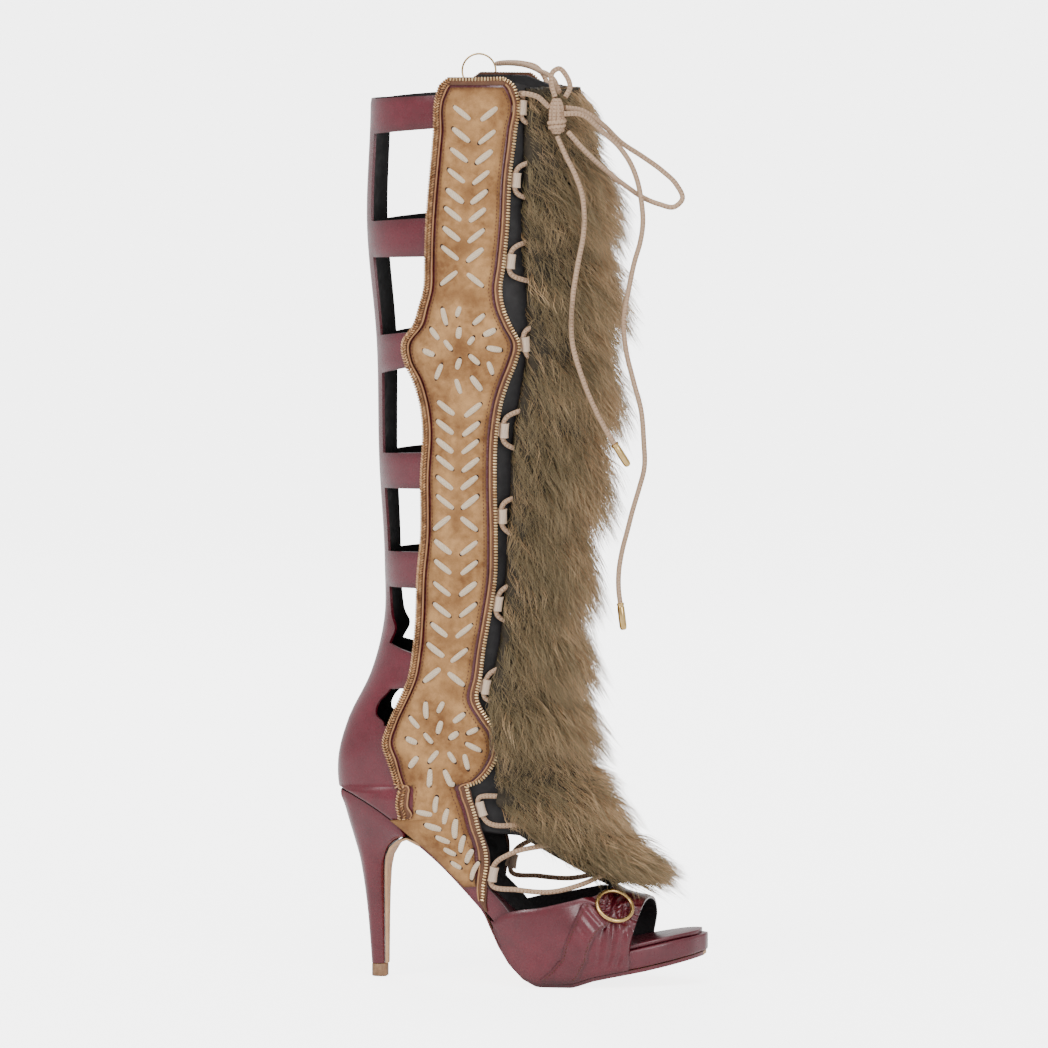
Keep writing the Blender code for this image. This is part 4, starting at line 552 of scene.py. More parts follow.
def piece(name: str, vertices: np.ndarray, blocks: list, materials: list, slots: list = None,
          values: dict = None, sharp: float = 50.0) -> bpy.types.Object:
    """Make one object from arrays; a negative total volume turns every face round.

    Args:
        name: name of the piece.
        vertices: points, (n, 3).
        blocks: arrays of faces, each (m, k) with k corners a face.
        materials: the piece's materials.
        slots: material number of each block, or none for 0.
        values: point attributes by name, each (n,).
        sharp: angle in degrees from which an edge is left sharp.

    Returns:
        The object, at the origin.
    """
    vertices = np.asarray(vertices, float).reshape(-1, 3)
    blocks = [np.asarray(block, int) for block in blocks]
    total = 0.0
    for block in blocks:
        for k in range(1, block.shape[1] - 1):
            a, b, c = (vertices[block[:, i]] for i in (0, k, k + 1))
            total += np.einsum("ij,ij->", a, np.cross(b, c))
    if total < 0:
        blocks = [block[:, ::-1] for block in blocks]
    sizes = np.concatenate([np.full(len(block), block.shape[1]) for block in blocks])
    corners = np.concatenate([block.ravel() for block in blocks])
    mesh = bpy.data.meshes.new(name)
    mesh.vertices.add(len(vertices))
    mesh.vertices.foreach_set("co", vertices.ravel())
    mesh.loops.add(len(corners))
    mesh.loops.foreach_set("vertex_index", corners)
    mesh.polygons.add(len(sizes))
    mesh.polygons.foreach_set("loop_start", np.concatenate([[0], np.cumsum(sizes)[:-1]]))
    for material in materials:
        mesh.materials.append(material)
    if slots:
        chosen = np.concatenate([np.full(len(block), slot) for block, slot in zip(blocks, slots)])
        mesh.polygons.foreach_set("material_index", chosen)
    mesh.update(calc_edges=True)
    mesh.validate()
    for key, numbers in (values or {}).items():
        made = mesh.attributes.new(key, "FLOAT", "POINT")
        made.data.foreach_set("value", np.asarray(numbers, float).ravel())
    mesh.shade_smooth()
    mesh.set_sharp_from_angle(angle=np.radians(sharp))
    made = bpy.data.objects.new(name, mesh)
    bpy.context.scene.collection.objects.link(made)
    return made


class Slot(Enum):
    """Material slots of the record."""

    BURGUNDY = "burgundy_leather"
    SUEDE = "tan_suede"
    BRASS = "brass"
    BLACK = "black_lining"
    FUR = "brown_fur"
    LACE = "beige_lace"
    SOLE = "tan_sole"


def settle(made: bpy.types.Object, nodes: tuple, body: str = "shoe") -> bpy.types.Object:
    """Tie a piece to its body and the CAD nodes that it stands for, and report it.

    Args:
        made: the piece.
        nodes: names of the CAD nodes that it replaces.
        body: body that it moves with.

    Returns:
        The piece.
    """
    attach(made, body)
    if nodes:
        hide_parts(*nodes)
    count = len(made.data.loops) - 2 * len(made.data.polygons) if made.type == "MESH" else 0
    LOG.info("%s: %d triangles, for %s", made.name, count, ", ".join(nodes) or "no node")
    return made


class Geometry(NamedTuple):
    """Vertices, blocks of faces, their slots and point values, before they are an object."""

    vertices: np.ndarray
    blocks: list
    slots: list
    values: dict


def joined(parts: list) -> Geometry:
    """Put several geometries into one; a value that one lacks is 0 there.

    Args:
        parts: the geometries.

    Returns:
        One geometry.
    """
    start, blocks, slots = 0, [], []
    names = sorted({name for part in parts for name in part.values})
    for part in parts:
        blocks += [np.asarray(block) + start for block in part.blocks]
        slots += list(part.slots)
        start += len(part.vertices)
    values = {name: np.concatenate([np.asarray(part.values.get(name, np.zeros(len(part.vertices)))).ravel()
                                    for part in parts]) for name in names}
    return Geometry(np.concatenate([part.vertices for part in parts]), blocks, slots, values)


def made_of(name: str, shape: Geometry, materials: list, sharp: float = 50.0) -> bpy.types.Object:
    """Make an object of a geometry."""
    return piece(name, shape.vertices, shape.blocks, materials, shape.slots, shape.values, sharp)


def wall(points: np.ndarray, normals: np.ndarray, keep: np.ndarray, high: np.ndarray, low: np.ndarray,
         crown: float = 0.0, fall: float = 0.002, inner_slot: int = 0, extra: dict = None) -> Geometry:
    """Closed wall over a grid: an outer and an inner skin and the rims between them.

    The outer skin stands at high + crown * (1 - exp(-(d / fall)^2)) over the grid, where d is
    the distance to the nearest free edge; the value rim is exp(-d / 1 mm).

    Args:
        points: grid, (rows, columns, 3); points in the same place are one.
        normals: unit normals of the grid.
        keep: cells that exist, (rows - 1, columns - 1).
        high: height of the outer skin, a number or a grid.
        low: height of the inner skin.
        crown: how much higher the skin is away from its edges.
        fall: distance over which the crown fades in.
        inner_slot: material number of the inner skin.
        extra: more point values by name, as grids.

    Returns:
        The wall's geometry.
    """
    shape = points.shape[:2]
    flat = points.reshape(-1, 3)
    _, first, ids = np.unique(np.round(flat, 6), axis=0, return_index=True, return_inverse=True)
    ids = ids.reshape(shape)
    count = len(first)
    summed = np.zeros((count, 3))
    np.add.at(summed, ids.ravel(), normals.reshape(-1, 3))
    summed = unit(summed)
    i, j = np.nonzero(keep)
    cells = np.stack([ids[i, j], ids[i, j + 1], ids[i + 1, j + 1], ids[i + 1, j]], 1)
    ends = np.roll(cells, -1, axis=1)
    pairs = np.stack([cells.ravel(), ends.ravel()], 1)
    pairs = pairs[pairs[:, 0] != pairs[:, 1]]
    open_edges = pairs[~np.isin(pairs[:, 0] * count + pairs[:, 1], pairs[:, 1] * count + pairs[:, 0])]
    base = flat[first]
    rim_points = base[np.unique(open_edges)]
    away = np.concatenate([np.sqrt(((part[:, None, :] - rim_points[None, :, :]) ** 2).sum(-1).min(1))
                           for part in np.array_split(base, max(count // 400, 1))])
    high = np.broadcast_to(high, shape).ravel()[first] + crown * (1 - np.exp(-(away / fall) ** 2))
    low = np.broadcast_to(low, shape).ravel()[first]
    vertices = np.concatenate([base + summed * high[:, None], base + summed * low[:, None]])
    twice = (cells == ends).any(1)
    quads, narrow = cells[~twice], cells[twice]
    keep_ends = narrow != np.roll(narrow, -1, axis=1)
    whole = keep_ends.sum(1) == 3
    triangles = narrow[whole][keep_ends[whole]].reshape(-1, 3)
    start, end = open_edges.T
    rims = np.stack([end, start, start + count, end + count], 1)
    values = {"rim": np.tile(np.exp(-away / 0.001), 2)}
    for name, grid in (extra or {}).items():
        values[name] = np.tile(np.broadcast_to(grid, shape).ravel()[first], 2)
    blocks = [quads, quads[:, ::-1] + count, rims, triangles, triangles[:, ::-1] + count]
    slots = [0, inner_slot, 0, 0, inner_slot]
    filled = [n for n, block in enumerate(blocks) if len(block)]
    return Geometry(vertices, [blocks[n] for n in filled], [slots[n] for n in filled], values)


def tube(path: np.ndarray, radius: np.ndarray, sides: int, reference: np.ndarray) -> Geometry:
    """Round section carried along a path, its zero angle held towards a reference direction.

    Args:
        path: centre line, (n, 3).
        radius: a number or one for each point.
        sides: corners of the section.
        reference: direction or directions never along the path.

    Returns:
        The tube's geometry, with values along (metres) and turn (0 to 1).
    """
    tangent = unit(np.gradient(path, axis=0))
    across = unit(np.cross(tangent, np.broadcast_to(reference, path.shape)))
    out = np.cross(across, tangent)
    angle = np.arange(sides) * 2 * np.pi / sides
    radii = np.broadcast_to(radius, len(path))[:, None, None]
    rings = path[:, None] + radii * (np.sin(angle)[:, None] * across[:, None]
                                     + np.cos(angle)[:, None] * out[:, None])
    along = np.repeat(run_of(path)[:, None], sides, 1)
    turn = np.broadcast_to(np.arange(sides) / sides, along.shape)
    shape = lofted(rings)
    return shape._replace(values={"along": along, "turn": turn})


def lofted(rings: np.ndarray, caps: bool = True) -> Geometry:
    """Skin through rings of as many points each, closed around and at both ends.

    Args:
        rings: points, (n, size, 3).
        caps: whether the ends are closed; without them the last ring joins the first.

    Returns:
        The geometry.
    """
    count, size = rings.shape[:2]
    i, j = np.meshgrid(np.arange(count - 1 if caps else count), np.arange(size), indexing="ij")
    i, j = i.ravel(), j.ravel()
    k, n = (j + 1) % size, (i + 1) % count
    blocks = [np.stack([i * size + j, i * size + k, n * size + k, n * size + j], 1)]
    if caps:
        blocks += [np.arange(size)[None, ::-1], (count - 1) * size + np.arange(size)[None]]
    return Geometry(rings.reshape(-1, 3), blocks, [0] * len(blocks), {})


def bead(rings: int, sides: int, power: float) -> Geometry:
    """Unit ball of few faces, squared off where the power is under 1.

    Args:
        rings: rings between the poles.
        sides: corners of each ring.
        power: power of the sines and cosines.

    Returns:
        The ball's geometry, its poles on X.
    """
    def bent(value: np.ndarray) -> np.ndarray:
        return np.sign(value) * np.abs(value) ** power

    polar = np.pi * np.arange(1, rings + 1) / (rings + 1)
    turn = 2 * np.pi * (np.arange(sides) + 0.5) / sides
    x = np.repeat(bent(np.cos(polar))[:, None], sides, 1)
    y = bent(np.sin(polar))[:, None] * bent(np.cos(turn))[None]
    z = bent(np.sin(polar))[:, None] * bent(np.sin(turn))[None]
    body = np.concatenate([np.stack([x, y, z], -1).reshape(-1, 3), [[1.0, 0, 0], [-1.0, 0, 0]]])
    i, j = (grid.ravel() for grid in np.meshgrid(np.arange(rings - 1), np.arange(sides), indexing="ij"))
    k = (j + 1) % sides
    quads = np.stack([i * sides + j, i * sides + k, (i + 1) * sides + k, (i + 1) * sides + j], 1)
    j = np.arange(sides)
    k, last, top = (j + 1) % sides, (rings - 1) * sides, rings * sides
    near = np.stack([np.full(sides, top), k, j], 1)
    far = np.stack([np.full(sides, top + 1), last + j, last + k], 1)
    return Geometry(body, [quads, near, far], [0, 0, 0], {})


def scattered(one: Geometry, centres: np.ndarray, x: np.ndarray, y: np.ndarray, z: np.ndarray,
              tone: np.ndarray = None) -> Geometry:
    """Copies of a small shape, each with its own place and axes.

    Args:
        one: the shape, in units of the axes.
        centres: places, (n, 3).
        x: first axis of each copy, with its length, (n, 3).
        y: second axis.
        z: third axis.
        tone: value from 0 to 1 of each copy.

    Returns:
        The geometry of all copies, with the value tone.
    """
    axes = np.stack([x, y, z], 1)
    vertices = centres[:, None] + np.einsum("vk,nkc->nvc", one.vertices, axes)
    start = np.arange(len(centres))[:, None, None] * len(one.vertices)
    blocks = [(np.asarray(block)[None] + start).reshape(-1, block.shape[1]) for block in one.blocks]
    tones = np.repeat(np.zeros(len(centres)) if tone is None else tone, len(one.vertices))
    return Geometry(vertices.reshape(-1, 3), blocks, list(one.slots), {"tone": tones})


# Finishes -------------------------------------------------------------------------------------

class Bench:
    """Adds nodes to one tree and joins them."""

    def __init__(self, tree: bpy.types.NodeTree) -> None:
        """Keep the tree that the nodes go into."""
        self.tree = tree

    def add(self, kind: str, inputs: dict = None, **settings: object) -> bpy.types.Node:
        """Add a node, set its properties and fill or join its inputs.

        Args:
            kind: type of the node.
            inputs: values or output sockets by input name or number.
            settings: properties of the node.

        Returns:
            The node.
        """
        made = self.tree.nodes.new(kind)
        for key, value in settings.items():
            setattr(made, key, value)
        for key, value in (inputs or {}).items():
            if isinstance(value, bpy.types.NodeSocket):
                self.tree.links.new(value, made.inputs[key])
            else:
                made.inputs[key].default_value = value
        return made

    def sums(self, operation: str, first: object, second: object = 0.0,
             clamp: bool = False) -> bpy.types.NodeSocket:
        """Result of a two-sided sum of numbers or sockets."""
        return self.add("ShaderNodeMath", {0: first, 1: second}, operation=operation,
                        use_clamp=clamp).outputs[0]

    def blend(self, share: object, first: object, second: object, kind: str = "MIX") -> bpy.types.NodeSocket:
        """Colour between two colours or sockets."""
        return self.add("ShaderNodeMix", {0: share, 6: first, 7: second}, data_type="RGBA",
                        blend_type=kind).outputs[2]

    def noise(self, vector: object, scale: object, detail: float = 4.0,
              rough: float = 0.5) -> bpy.types.NodeSocket:
        """Smooth noise between 0 and 1."""
        return self.add("ShaderNodeTexNoise", {"Vector": vector, "Scale": scale, "Detail": detail,
                                               "Roughness": rough}).outputs[0]

    def ranged(self, value: object, low: float, high: float, to_low: float = 0.0,
               to_high: float = 1.0) -> bpy.types.NodeSocket:
        """Value moved from one range to another and held inside it."""
        return self.add("ShaderNodeMapRange", {0: value, 1: low, 2: high, 3: to_low, 4: to_high}).outputs[0]

    def value(self, name: str) -> bpy.types.NodeSocket:
        """Number of a point attribute."""
        return self.add("ShaderNodeAttribute", attribute_name=name).outputs["Fac"]

    def place(self) -> bpy.types.NodeSocket:
        """Object coordinates."""
        return self.add("ShaderNodeTexCoord").outputs["Object"]


def group(name: str, inputs: dict, outputs: dict, fill: Callable) -> bpy.types.NodeTree:
    """Make a shader node group once.

    Args:
        name: name of the group.
        inputs: socket type by input name.
        outputs: socket type by output name.
        fill: function that takes a bench and the inputs' sockets and returns the outputs'.

    Returns:
        The group.
    """
    known = bpy.data.node_groups.get(name)
    if known:
        return known
    tree = bpy.data.node_groups.new(name, "ShaderNodeTree")
    for words, way in ((inputs, "INPUT"), (outputs, "OUTPUT")):
        for key, kind in words.items():
            tree.interface.new_socket(name=key, in_out=way, socket_type=kind)
    bench = Bench(tree)
    enter, leave = bench.add("NodeGroupInput"), bench.add("NodeGroupOutput")
    for key, socket in fill(bench, enter.outputs).items():
        tree.links.new(socket, leave.inputs[key])
    return tree


NUMBER, VECTOR, COLOUR = "NodeSocketFloat", "NodeSocketVector", "NodeSocketColor"


def hide_grain() -> bpy.types.NodeTree:
    """Leather grain: cells of pebbles with pores between them, over slow creases."""
    def fill(bench: Bench, enter: object) -> dict:
        cells = bench.add("ShaderNodeTexVoronoi", {"Vector": enter["Vector"], "Scale": enter["Scale"]},
                          feature="SMOOTH_F1").outputs["Distance"]
        slow = bench.sums("MULTIPLY", enter["Scale"], 0.13)
        crease = bench.noise(enter["Vector"], slow, 6.0, 0.62)
        deep = bench.sums("MULTIPLY", bench.sums("SUBTRACT", crease, 0.5), enter["Creases"])
        height = bench.sums("ADD", bench.sums("MULTIPLY", cells, -0.5), deep)
        return {"Height": height, "Mask": bench.ranged(crease, 0.35, 0.65)}
    return group("Hide grain", {"Vector": VECTOR, "Scale": NUMBER, "Creases": NUMBER},
                 {"Height": NUMBER, "Mask": NUMBER}, fill)


def mottling() -> bpy.types.NodeTree:
    """Uneven nap: broad clouds, middling patches and fine fibres."""
    def fill(bench: Bench, enter: object) -> dict:
        broad = bench.noise(enter["Vector"], enter["Scale"], 3.0, 0.55)
        patch = bench.noise(enter["Vector"], bench.sums("MULTIPLY", enter["Scale"], 5.0), 5.0, 0.6)
        fine = bench.noise(enter["Vector"], bench.sums("MULTIPLY", enter["Scale"], 60.0), 2.0, 0.7)
        mixed = bench.sums("ADD", bench.sums("MULTIPLY", broad, 0.6), bench.sums("MULTIPLY", patch, 0.4))
        return {"Mask": bench.ranged(mixed, 0.36, 0.64), "Fine": fine}
    return group("Mottling", {"Vector": VECTOR, "Scale": NUMBER}, {"Mask": NUMBER, "Fine": NUMBER}, fill)


def thread_twist() -> bpy.types.NodeTree:
    """Twisted or braided thread: slanted ridges that follow the length and turn of a cord; the mask paints
    shade into their valleys.
    """
    def fill(bench: Bench, enter: object) -> dict:
        runs = bench.sums("DIVIDE", enter["Along"], enter["Pitch"])
        one = bench.sums("SINE", bench.sums("MULTIPLY", bench.sums("ADD", runs, enter["Turn"]), 6.2832))
        two = bench.sums("SINE", bench.sums("MULTIPLY", bench.sums("SUBTRACT", runs, enter["Turn"]), 6.2832))
        ridge = bench.sums("MAXIMUM", one, bench.sums("MULTIPLY", two, enter["Braid"]))
        return {"Height": ridge, "Mask": bench.ranged(ridge, -0.6, 0.6)}
    return group("Thread twist", {"Along": NUMBER, "Turn": NUMBER, "Pitch": NUMBER, "Braid": NUMBER},
                 {"Height": NUMBER, "Mask": NUMBER}, fill)


def edge_wear_and_shade() -> bpy.types.NodeTree:
    """Mask of darkened edges, partly rubbed leather and partly painted shade: the rim value broken up by
    noise.
    """
    def fill(bench: Bench, enter: object) -> dict:
        broken = bench.noise(enter["Vector"], 900.0, 4.0, 0.6)
        worn_and_shaded = bench.sums("MULTIPLY", enter["Rim"], bench.ranged(broken, 0.3, 0.6, 0.45, 1.0))
        return {"Mask": bench.sums("MULTIPLY", worn_and_shaded, enter["Amount"], clamp=True)}
    return group("Edge wear", {"Vector": VECTOR, "Rim": NUMBER, "Amount": NUMBER}, {"Mask": NUMBER}, fill)


class Finish:
    """A surface finish: dress fills the nodes, and material makes the material once."""

    name: str

    def dress(self, bench: Bench, shader: bpy.types.Node) -> None:
        """Fill the material's nodes."""
        raise NotImplementedError

    def material(self) -> bpy.types.Material:
        """The finish as a material, made once."""
        known = bpy.data.materials.get(self.name)
        if known:
            return known
        made = bpy.data.materials.new(self.name)
        made.use_nodes = True
        self.dress(Bench(made.node_tree), made.node_tree.nodes["Principled BSDF"])
        return made


def bumped(bench: Bench, shader: bpy.types.Node, height: bpy.types.NodeSocket, distance: float,
           strength: float = 1.0) -> None:
    """Feed a height through a Bump node into the shader's normal."""
    bump = bench.add("ShaderNodeBump", {"Height": height, "Strength": strength, "Distance": distance})
    bench.tree.links.new(bump.outputs[0], shader.inputs["Normal"])


@dataclass(frozen=True)
class Leather(Finish):
    """Leather with grain, slow creases, uneven dye and darker edges, partly rubbed and partly painted shade.
    """

    name: str
    deep: tuple
    light: tuple
    rough: float = 0.36
    coat: float = 0.25
    grain: float = 1500.0
    relief: float = 0.00007
    creases: float = 1.2
    wear_and_shade: float = 0.6

    def dress(self, bench: Bench, shader: bpy.types.Node) -> None:
        """Fill the material's nodes."""
        place = bench.place()
        grain = bench.add("ShaderNodeGroup", node_tree=hide_grain())
        cloud = bench.add("ShaderNodeGroup", node_tree=mottling())
        worn_and_shaded = bench.add("ShaderNodeGroup", node_tree=edge_wear_and_shade())
        for node in (grain, cloud, worn_and_shaded):
            bench.tree.links.new(place, node.inputs["Vector"])
        grain.inputs["Scale"].default_value = self.grain
        grain.inputs["Creases"].default_value = self.creases
        cloud.inputs["Scale"].default_value = 28.0
        bench.tree.links.new(bench.value("rim"), worn_and_shaded.inputs["Rim"])
        worn_and_shaded.inputs["Amount"].default_value = self.wear_and_shade
        colour = bench.blend(cloud.outputs["Mask"], (*self.deep, 1), (*self.light, 1))
        # Painted shade, partly rubbing too: the edges darken towards a third of the deep colour.
        dark = tuple(0.35 * part for part in self.deep)
        colour = bench.blend(worn_and_shaded.outputs["Mask"], colour, (*dark, 1))
        bench.tree.links.new(colour, shader.inputs["Base Color"])
        rough = bench.ranged(grain.outputs["Mask"], 0.0, 1.0, self.rough - 0.07, self.rough + 0.09)
        bench.tree.links.new(rough, shader.inputs["Roughness"])
        shader.inputs["Coat Weight"].default_value = self.coat
        shader.inputs["Coat Roughness"].default_value = 0.28
        bumped(bench, shader, grain.outputs["Height"], self.relief)


@dataclass(frozen=True)
class Suede(Finish):
    """Brushed suede: clouds of lighter and darker nap, with painted shade from the shade value and towards
    its edges.
    """

    name: str
    deep: tuple
    light: tuple
    # Colour of the painted shade towards the panel's edges.
    edge: tuple

    def dress(self, bench: Bench, shader: bpy.types.Node) -> None:
        """Fill the material's nodes."""
        place = bench.place()
        cloud = bench.add("ShaderNodeGroup", {"Vector": place, "Scale": 45.0}, node_tree=mottling())
        worn_and_shaded = bench.add("ShaderNodeGroup", {"Vector": place, "Rim": bench.value("rim"), "Amount": 0.9},
                         node_tree=edge_wear_and_shade())
        colour = bench.blend(cloud.outputs["Mask"], (*self.deep, 1), (*self.light, 1))
        shaded = bench.ranged(bench.value("shade"), 0.0, 1.0, 0.0, 0.75)
        colour = bench.blend(shaded, colour, (*self.deep, 1))
        nap = bench.ranged(cloud.outputs["Fine"], 0.3, 0.7, 0.82, 1.12)
        scaled = bench.add("ShaderNodeCombineColor", {0: nap, 1: nap, 2: nap}).outputs[0]
        colour = bench.blend(1.0, colour, scaled, "MULTIPLY")
        # Painted shade: towards the edges the suede darkens to the edge colour.
        colour = bench.blend(worn_and_shaded.outputs["Mask"], colour, (*self.edge, 1))
        bench.tree.links.new(colour, shader.inputs["Base Color"])
        shader.inputs["Roughness"].default_value = 0.92
        shader.inputs["Specular IOR Level"].default_value = 0.2
        shader.inputs["Sheen Weight"].default_value = 0.12
        shader.inputs["Sheen Roughness"].default_value = 0.5
        bumped(bench, shader, cloud.outputs["Fine"], 0.00022)


@dataclass(frozen=True)
class Thread(Finish):
    """Thread or cord: twisted ridges, with painted shade in the valleys and uneven fibre tone."""

    name: str
    deep: tuple
    light: tuple
    pitch: float = 0.0016
    braid: float = 0.0
    relief: float = 0.0002
    rough: float = 0.75

    def dress(self, bench: Bench, shader: bpy.types.Node) -> None:
        """Fill the material's nodes."""
        twist = bench.add("ShaderNodeGroup", {"Along": bench.value("along"), "Turn": bench.value("turn"),
                                              "Pitch": self.pitch, "Braid": self.braid},
                          node_tree=thread_twist())
        fuzz = bench.noise(bench.place(), 1800.0, 3.0, 0.6)
        share = bench.sums("ADD", bench.sums("MULTIPLY", twist.outputs["Mask"], 0.6),
                           bench.ranged(fuzz, 0.3, 0.7, 0.0, 0.4), clamp=True)
        # Painted shade: the deep colour fills the valleys of the twist; the fuzz adds uneven fibre tone.
        colour = bench.blend(share, (*self.deep, 1), (*self.light, 1))
        bench.tree.links.new(colour, shader.inputs["Base Color"])
        shader.inputs["Roughness"].default_value = self.rough
        shader.inputs["Specular IOR Level"].default_value = 0.3
        height = bench.sums("ADD", bench.sums("MULTIPLY", twist.outputs["Height"], 0.5), fuzz)
        bumped(bench, shader, height, self.relief)


@dataclass(frozen=True)
class Metal(Finish):
    """Polished metal with slow tarnish; tone and noise pick between two colours."""

    name: str
    deep: tuple
    light: tuple
    rough: float = 0.2
    metallic: float = 1.0

    def dress(self, bench: Bench, shader: bpy.types.Node) -> None:
        """Fill the material's nodes."""
        cloud = bench.add("ShaderNodeGroup", {"Vector": bench.place(), "Scale": 240.0}, node_tree=mottling())
        share = bench.sums("ADD", bench.sums("MULTIPLY", cloud.outputs["Mask"], 0.5),
                           bench.sums("MULTIPLY", bench.value("tone"), 0.5))
        colour = bench.blend(share, (*self.light, 1), (*self.deep, 1))
        bench.tree.links.new(colour, shader.inputs["Base Color"])
        rough = bench.ranged(cloud.outputs["Fine"], 0.3, 0.7, self.rough, self.rough + 0.14)
        bench.tree.links.new(rough, shader.inputs["Roughness"])
        shader.inputs["Metallic"].default_value = self.metallic
        bumped(bench, shader, cloud.outputs["Fine"], 0.00001)


@dataclass(frozen=True)
class Hair(Finish):
    """Fur strands: dark root to light tip, with a tone for each strand."""

    name: str
    root: tuple
    body: tuple
    warm: tuple
    tip: tuple

    def dress(self, bench: Bench, shader: bpy.types.Node) -> None:
        """Fill the material's nodes."""
        tip, tone = bench.value("tip"), bench.value("tone")
        middle = bench.blend(bench.ranged(tone, 0.2, 0.8), (*self.body, 1), (*self.warm, 1))
        low = bench.blend(bench.ranged(tip, 0.0, 0.45), (*self.root, 1), middle)
        light = bench.sums("MULTIPLY", bench.ranged(tip, 0.35, 1.0), bench.ranged(tone, 0.3, 1.0, 0.25, 1.0))
        colour = bench.blend(light, low, (*self.tip, 1))
        bench.tree.links.new(colour, shader.inputs["Base Color"])
        streak = bench.noise(bench.place(), 700.0, 2.0, 0.5)
        bench.tree.links.new(bench.ranged(streak, 0.3, 0.7, 0.42, 0.6), shader.inputs["Roughness"])
        shader.inputs["Specular IOR Level"].default_value = 0.35


@dataclass(frozen=True)
class Plain(Finish):
    """Matt stuff with uneven colour, such as the painted shade of a stitch hole or the studio floor."""

    name: str
    deep: tuple
    light: tuple
    rough: float = 0.8
    scale: float = 120.0

    def dress(self, bench: Bench, shader: bpy.types.Node) -> None:
        """Fill the material's nodes."""
        cloud = bench.add("ShaderNodeGroup", {"Vector": bench.place(), "Scale": self.scale},
                          node_tree=mottling())
        bench.tree.links.new(bench.blend(cloud.outputs["Mask"], (*self.deep, 1), (*self.light, 1)),
                             shader.inputs["Base Color"])
        shader.inputs["Roughness"].default_value = self.rough
        bumped(bench, shader, cloud.outputs["Fine"], 0.00004)


BURGUNDY = Leather("Burgundy calf", (0.092, 0.0038, 0.0115), (0.140, 0.0075, 0.0195), rough=0.27, coat=0.5,
                   relief=0.00004, creases=0.5)
VAMP_CALF = Leather("Soft burgundy calf", (0.085, 0.0032, 0.0100), (0.140, 0.0075, 0.0190),
                    rough=0.25, coat=0.6,
                    relief=0.00008, creases=1.2)
COVER_CALF = Leather("Covered sole calf", (0.085, 0.0040, 0.0115), (0.130, 0.0085, 0.0200),
                     rough=0.30, coat=0.5)
LINING = Leather("Black lining", (0.008, 0.007, 0.008), (0.018, 0.016, 0.017), rough=0.62,
                 coat=0.0, wear_and_shade=0.0)
TAN_HIDE = Leather("Tan outsole hide", (0.50, 0.27, 0.13), (0.68, 0.42, 0.22), rough=0.55,
                   coat=0.0, wear_and_shade=0.3)
TAPE = Leather("Tan zip tape", (0.075, 0.024, 0.011), (0.190, 0.080, 0.034), rough=0.6, coat=0.0, wear_and_shade=0.5)
PIPING = Leather("Tan piping", (0.30, 0.13, 0.055), (0.48, 0.25, 0.11), rough=0.55, coat=0.0, wear_and_shade=0.0)
# The suede's third colour is painted shade at its edges.
SUEDE = Suede("Tan suede", (0.225, 0.100, 0.036), (0.590, 0.320, 0.130), (0.080, 0.028, 0.011))
# The threads' deep colours are painted shade in the valleys of their twist.
CREAM = Thread("Cream stitching", (0.46, 0.31, 0.19), (0.95, 0.80, 0.60), pitch=0.0013, relief=0.0004)
KEEPER_TAPE = Thread("Beige keeper tape", (0.48, 0.34, 0.24), (0.74, 0.58, 0.44), pitch=0.0009,
                     relief=0.00008)
CORD = Thread("Beige round lace", (0.26, 0.145, 0.085), (0.58, 0.40, 0.27), pitch=0.0022, braid=1.0)
GOLD = Metal("Pale gold", (0.42, 0.24, 0.075), (0.80, 0.55, 0.23), rough=0.16)
TEETH = Metal("Gold teeth", (0.42, 0.22, 0.08), (1.00, 0.78, 0.45), rough=0.24, metallic=0.7)
BRONZE = Metal("Bronze coil", (0.22, 0.085, 0.035), (1.00, 0.66, 0.36), rough=0.24, metallic=0.65)
PELT = Hair("Brown fur", (0.012, 0.009, 0.005), (0.150, 0.115, 0.055), (0.440, 0.240, 0.105),
            (1.000, 0.740, 0.450))
# Painted shade: the undercoat's colour stands for the shade deep in the fur.
UNDERCOAT_SHADE = Plain("Fur undercoat shade", (0.020, 0.015, 0.009), (0.060, 0.045, 0.026), 0.95, 260.0)
# Painted shade of the stitch hollows at the embroidery's ends.
HOLE_SHADE = Plain("Stitch hole shade", (0.020, 0.008, 0.004), (0.045, 0.018, 0.009), 0.9)
STITCH_BROWN = Plain("Red-brown thread", (0.085, 0.028, 0.014), (0.14, 0.05, 0.025), 0.8)
TIP_BROWN = Plain("Heel tip", (0.20, 0.105, 0.05), (0.34, 0.19, 0.10), 0.5, 300.0)


# Sub-assemblies -------------------------------------------------------------------------------

@dataclass
class Outline:
    """Outline of the side panels and its insets."""

    widest: float = 0.075

    def edge(self, rise: np.ndarray, column: str) -> np.ndarray:
        """Way around of an edge, on the smooth curve through the table."""
        return np.maximum(read_smooth(rise, PANEL_ROWS, column), TINY)

    def inset(self, rise: np.ndarray, distance: float) -> tuple:
        """Both edges moved inward by a distance across the outline.

        The move is the distance times the root of 1 plus the edge's slope squared.

        Args:
            rise: levels.
            distance: how far, in metres.

        Returns:
            Ways around of the back edge and of the front edge.
        """
        levels = np.array([row.rise for row in PANEL_ROWS])[::-1]
        height = np.where(levels >= 0, levels * FORM.leg_height, levels * FORM.shoe_length)
        moved = []
        for column, sign in (("back", 1.0), ("front", -1.0)):
            edge = self.edge(levels, column)
            reach = FORM.reach(levels, edge)
            slope = np.gradient(edge / reach, height)
            lean = np.sqrt(1 + np.clip(slope, -1.2, 1.2) ** 2)
            move = np.minimum(distance * lean * reach, self.widest)
            moved.append(through(levels, edge + sign * move, rise))
        return tuple(moved)


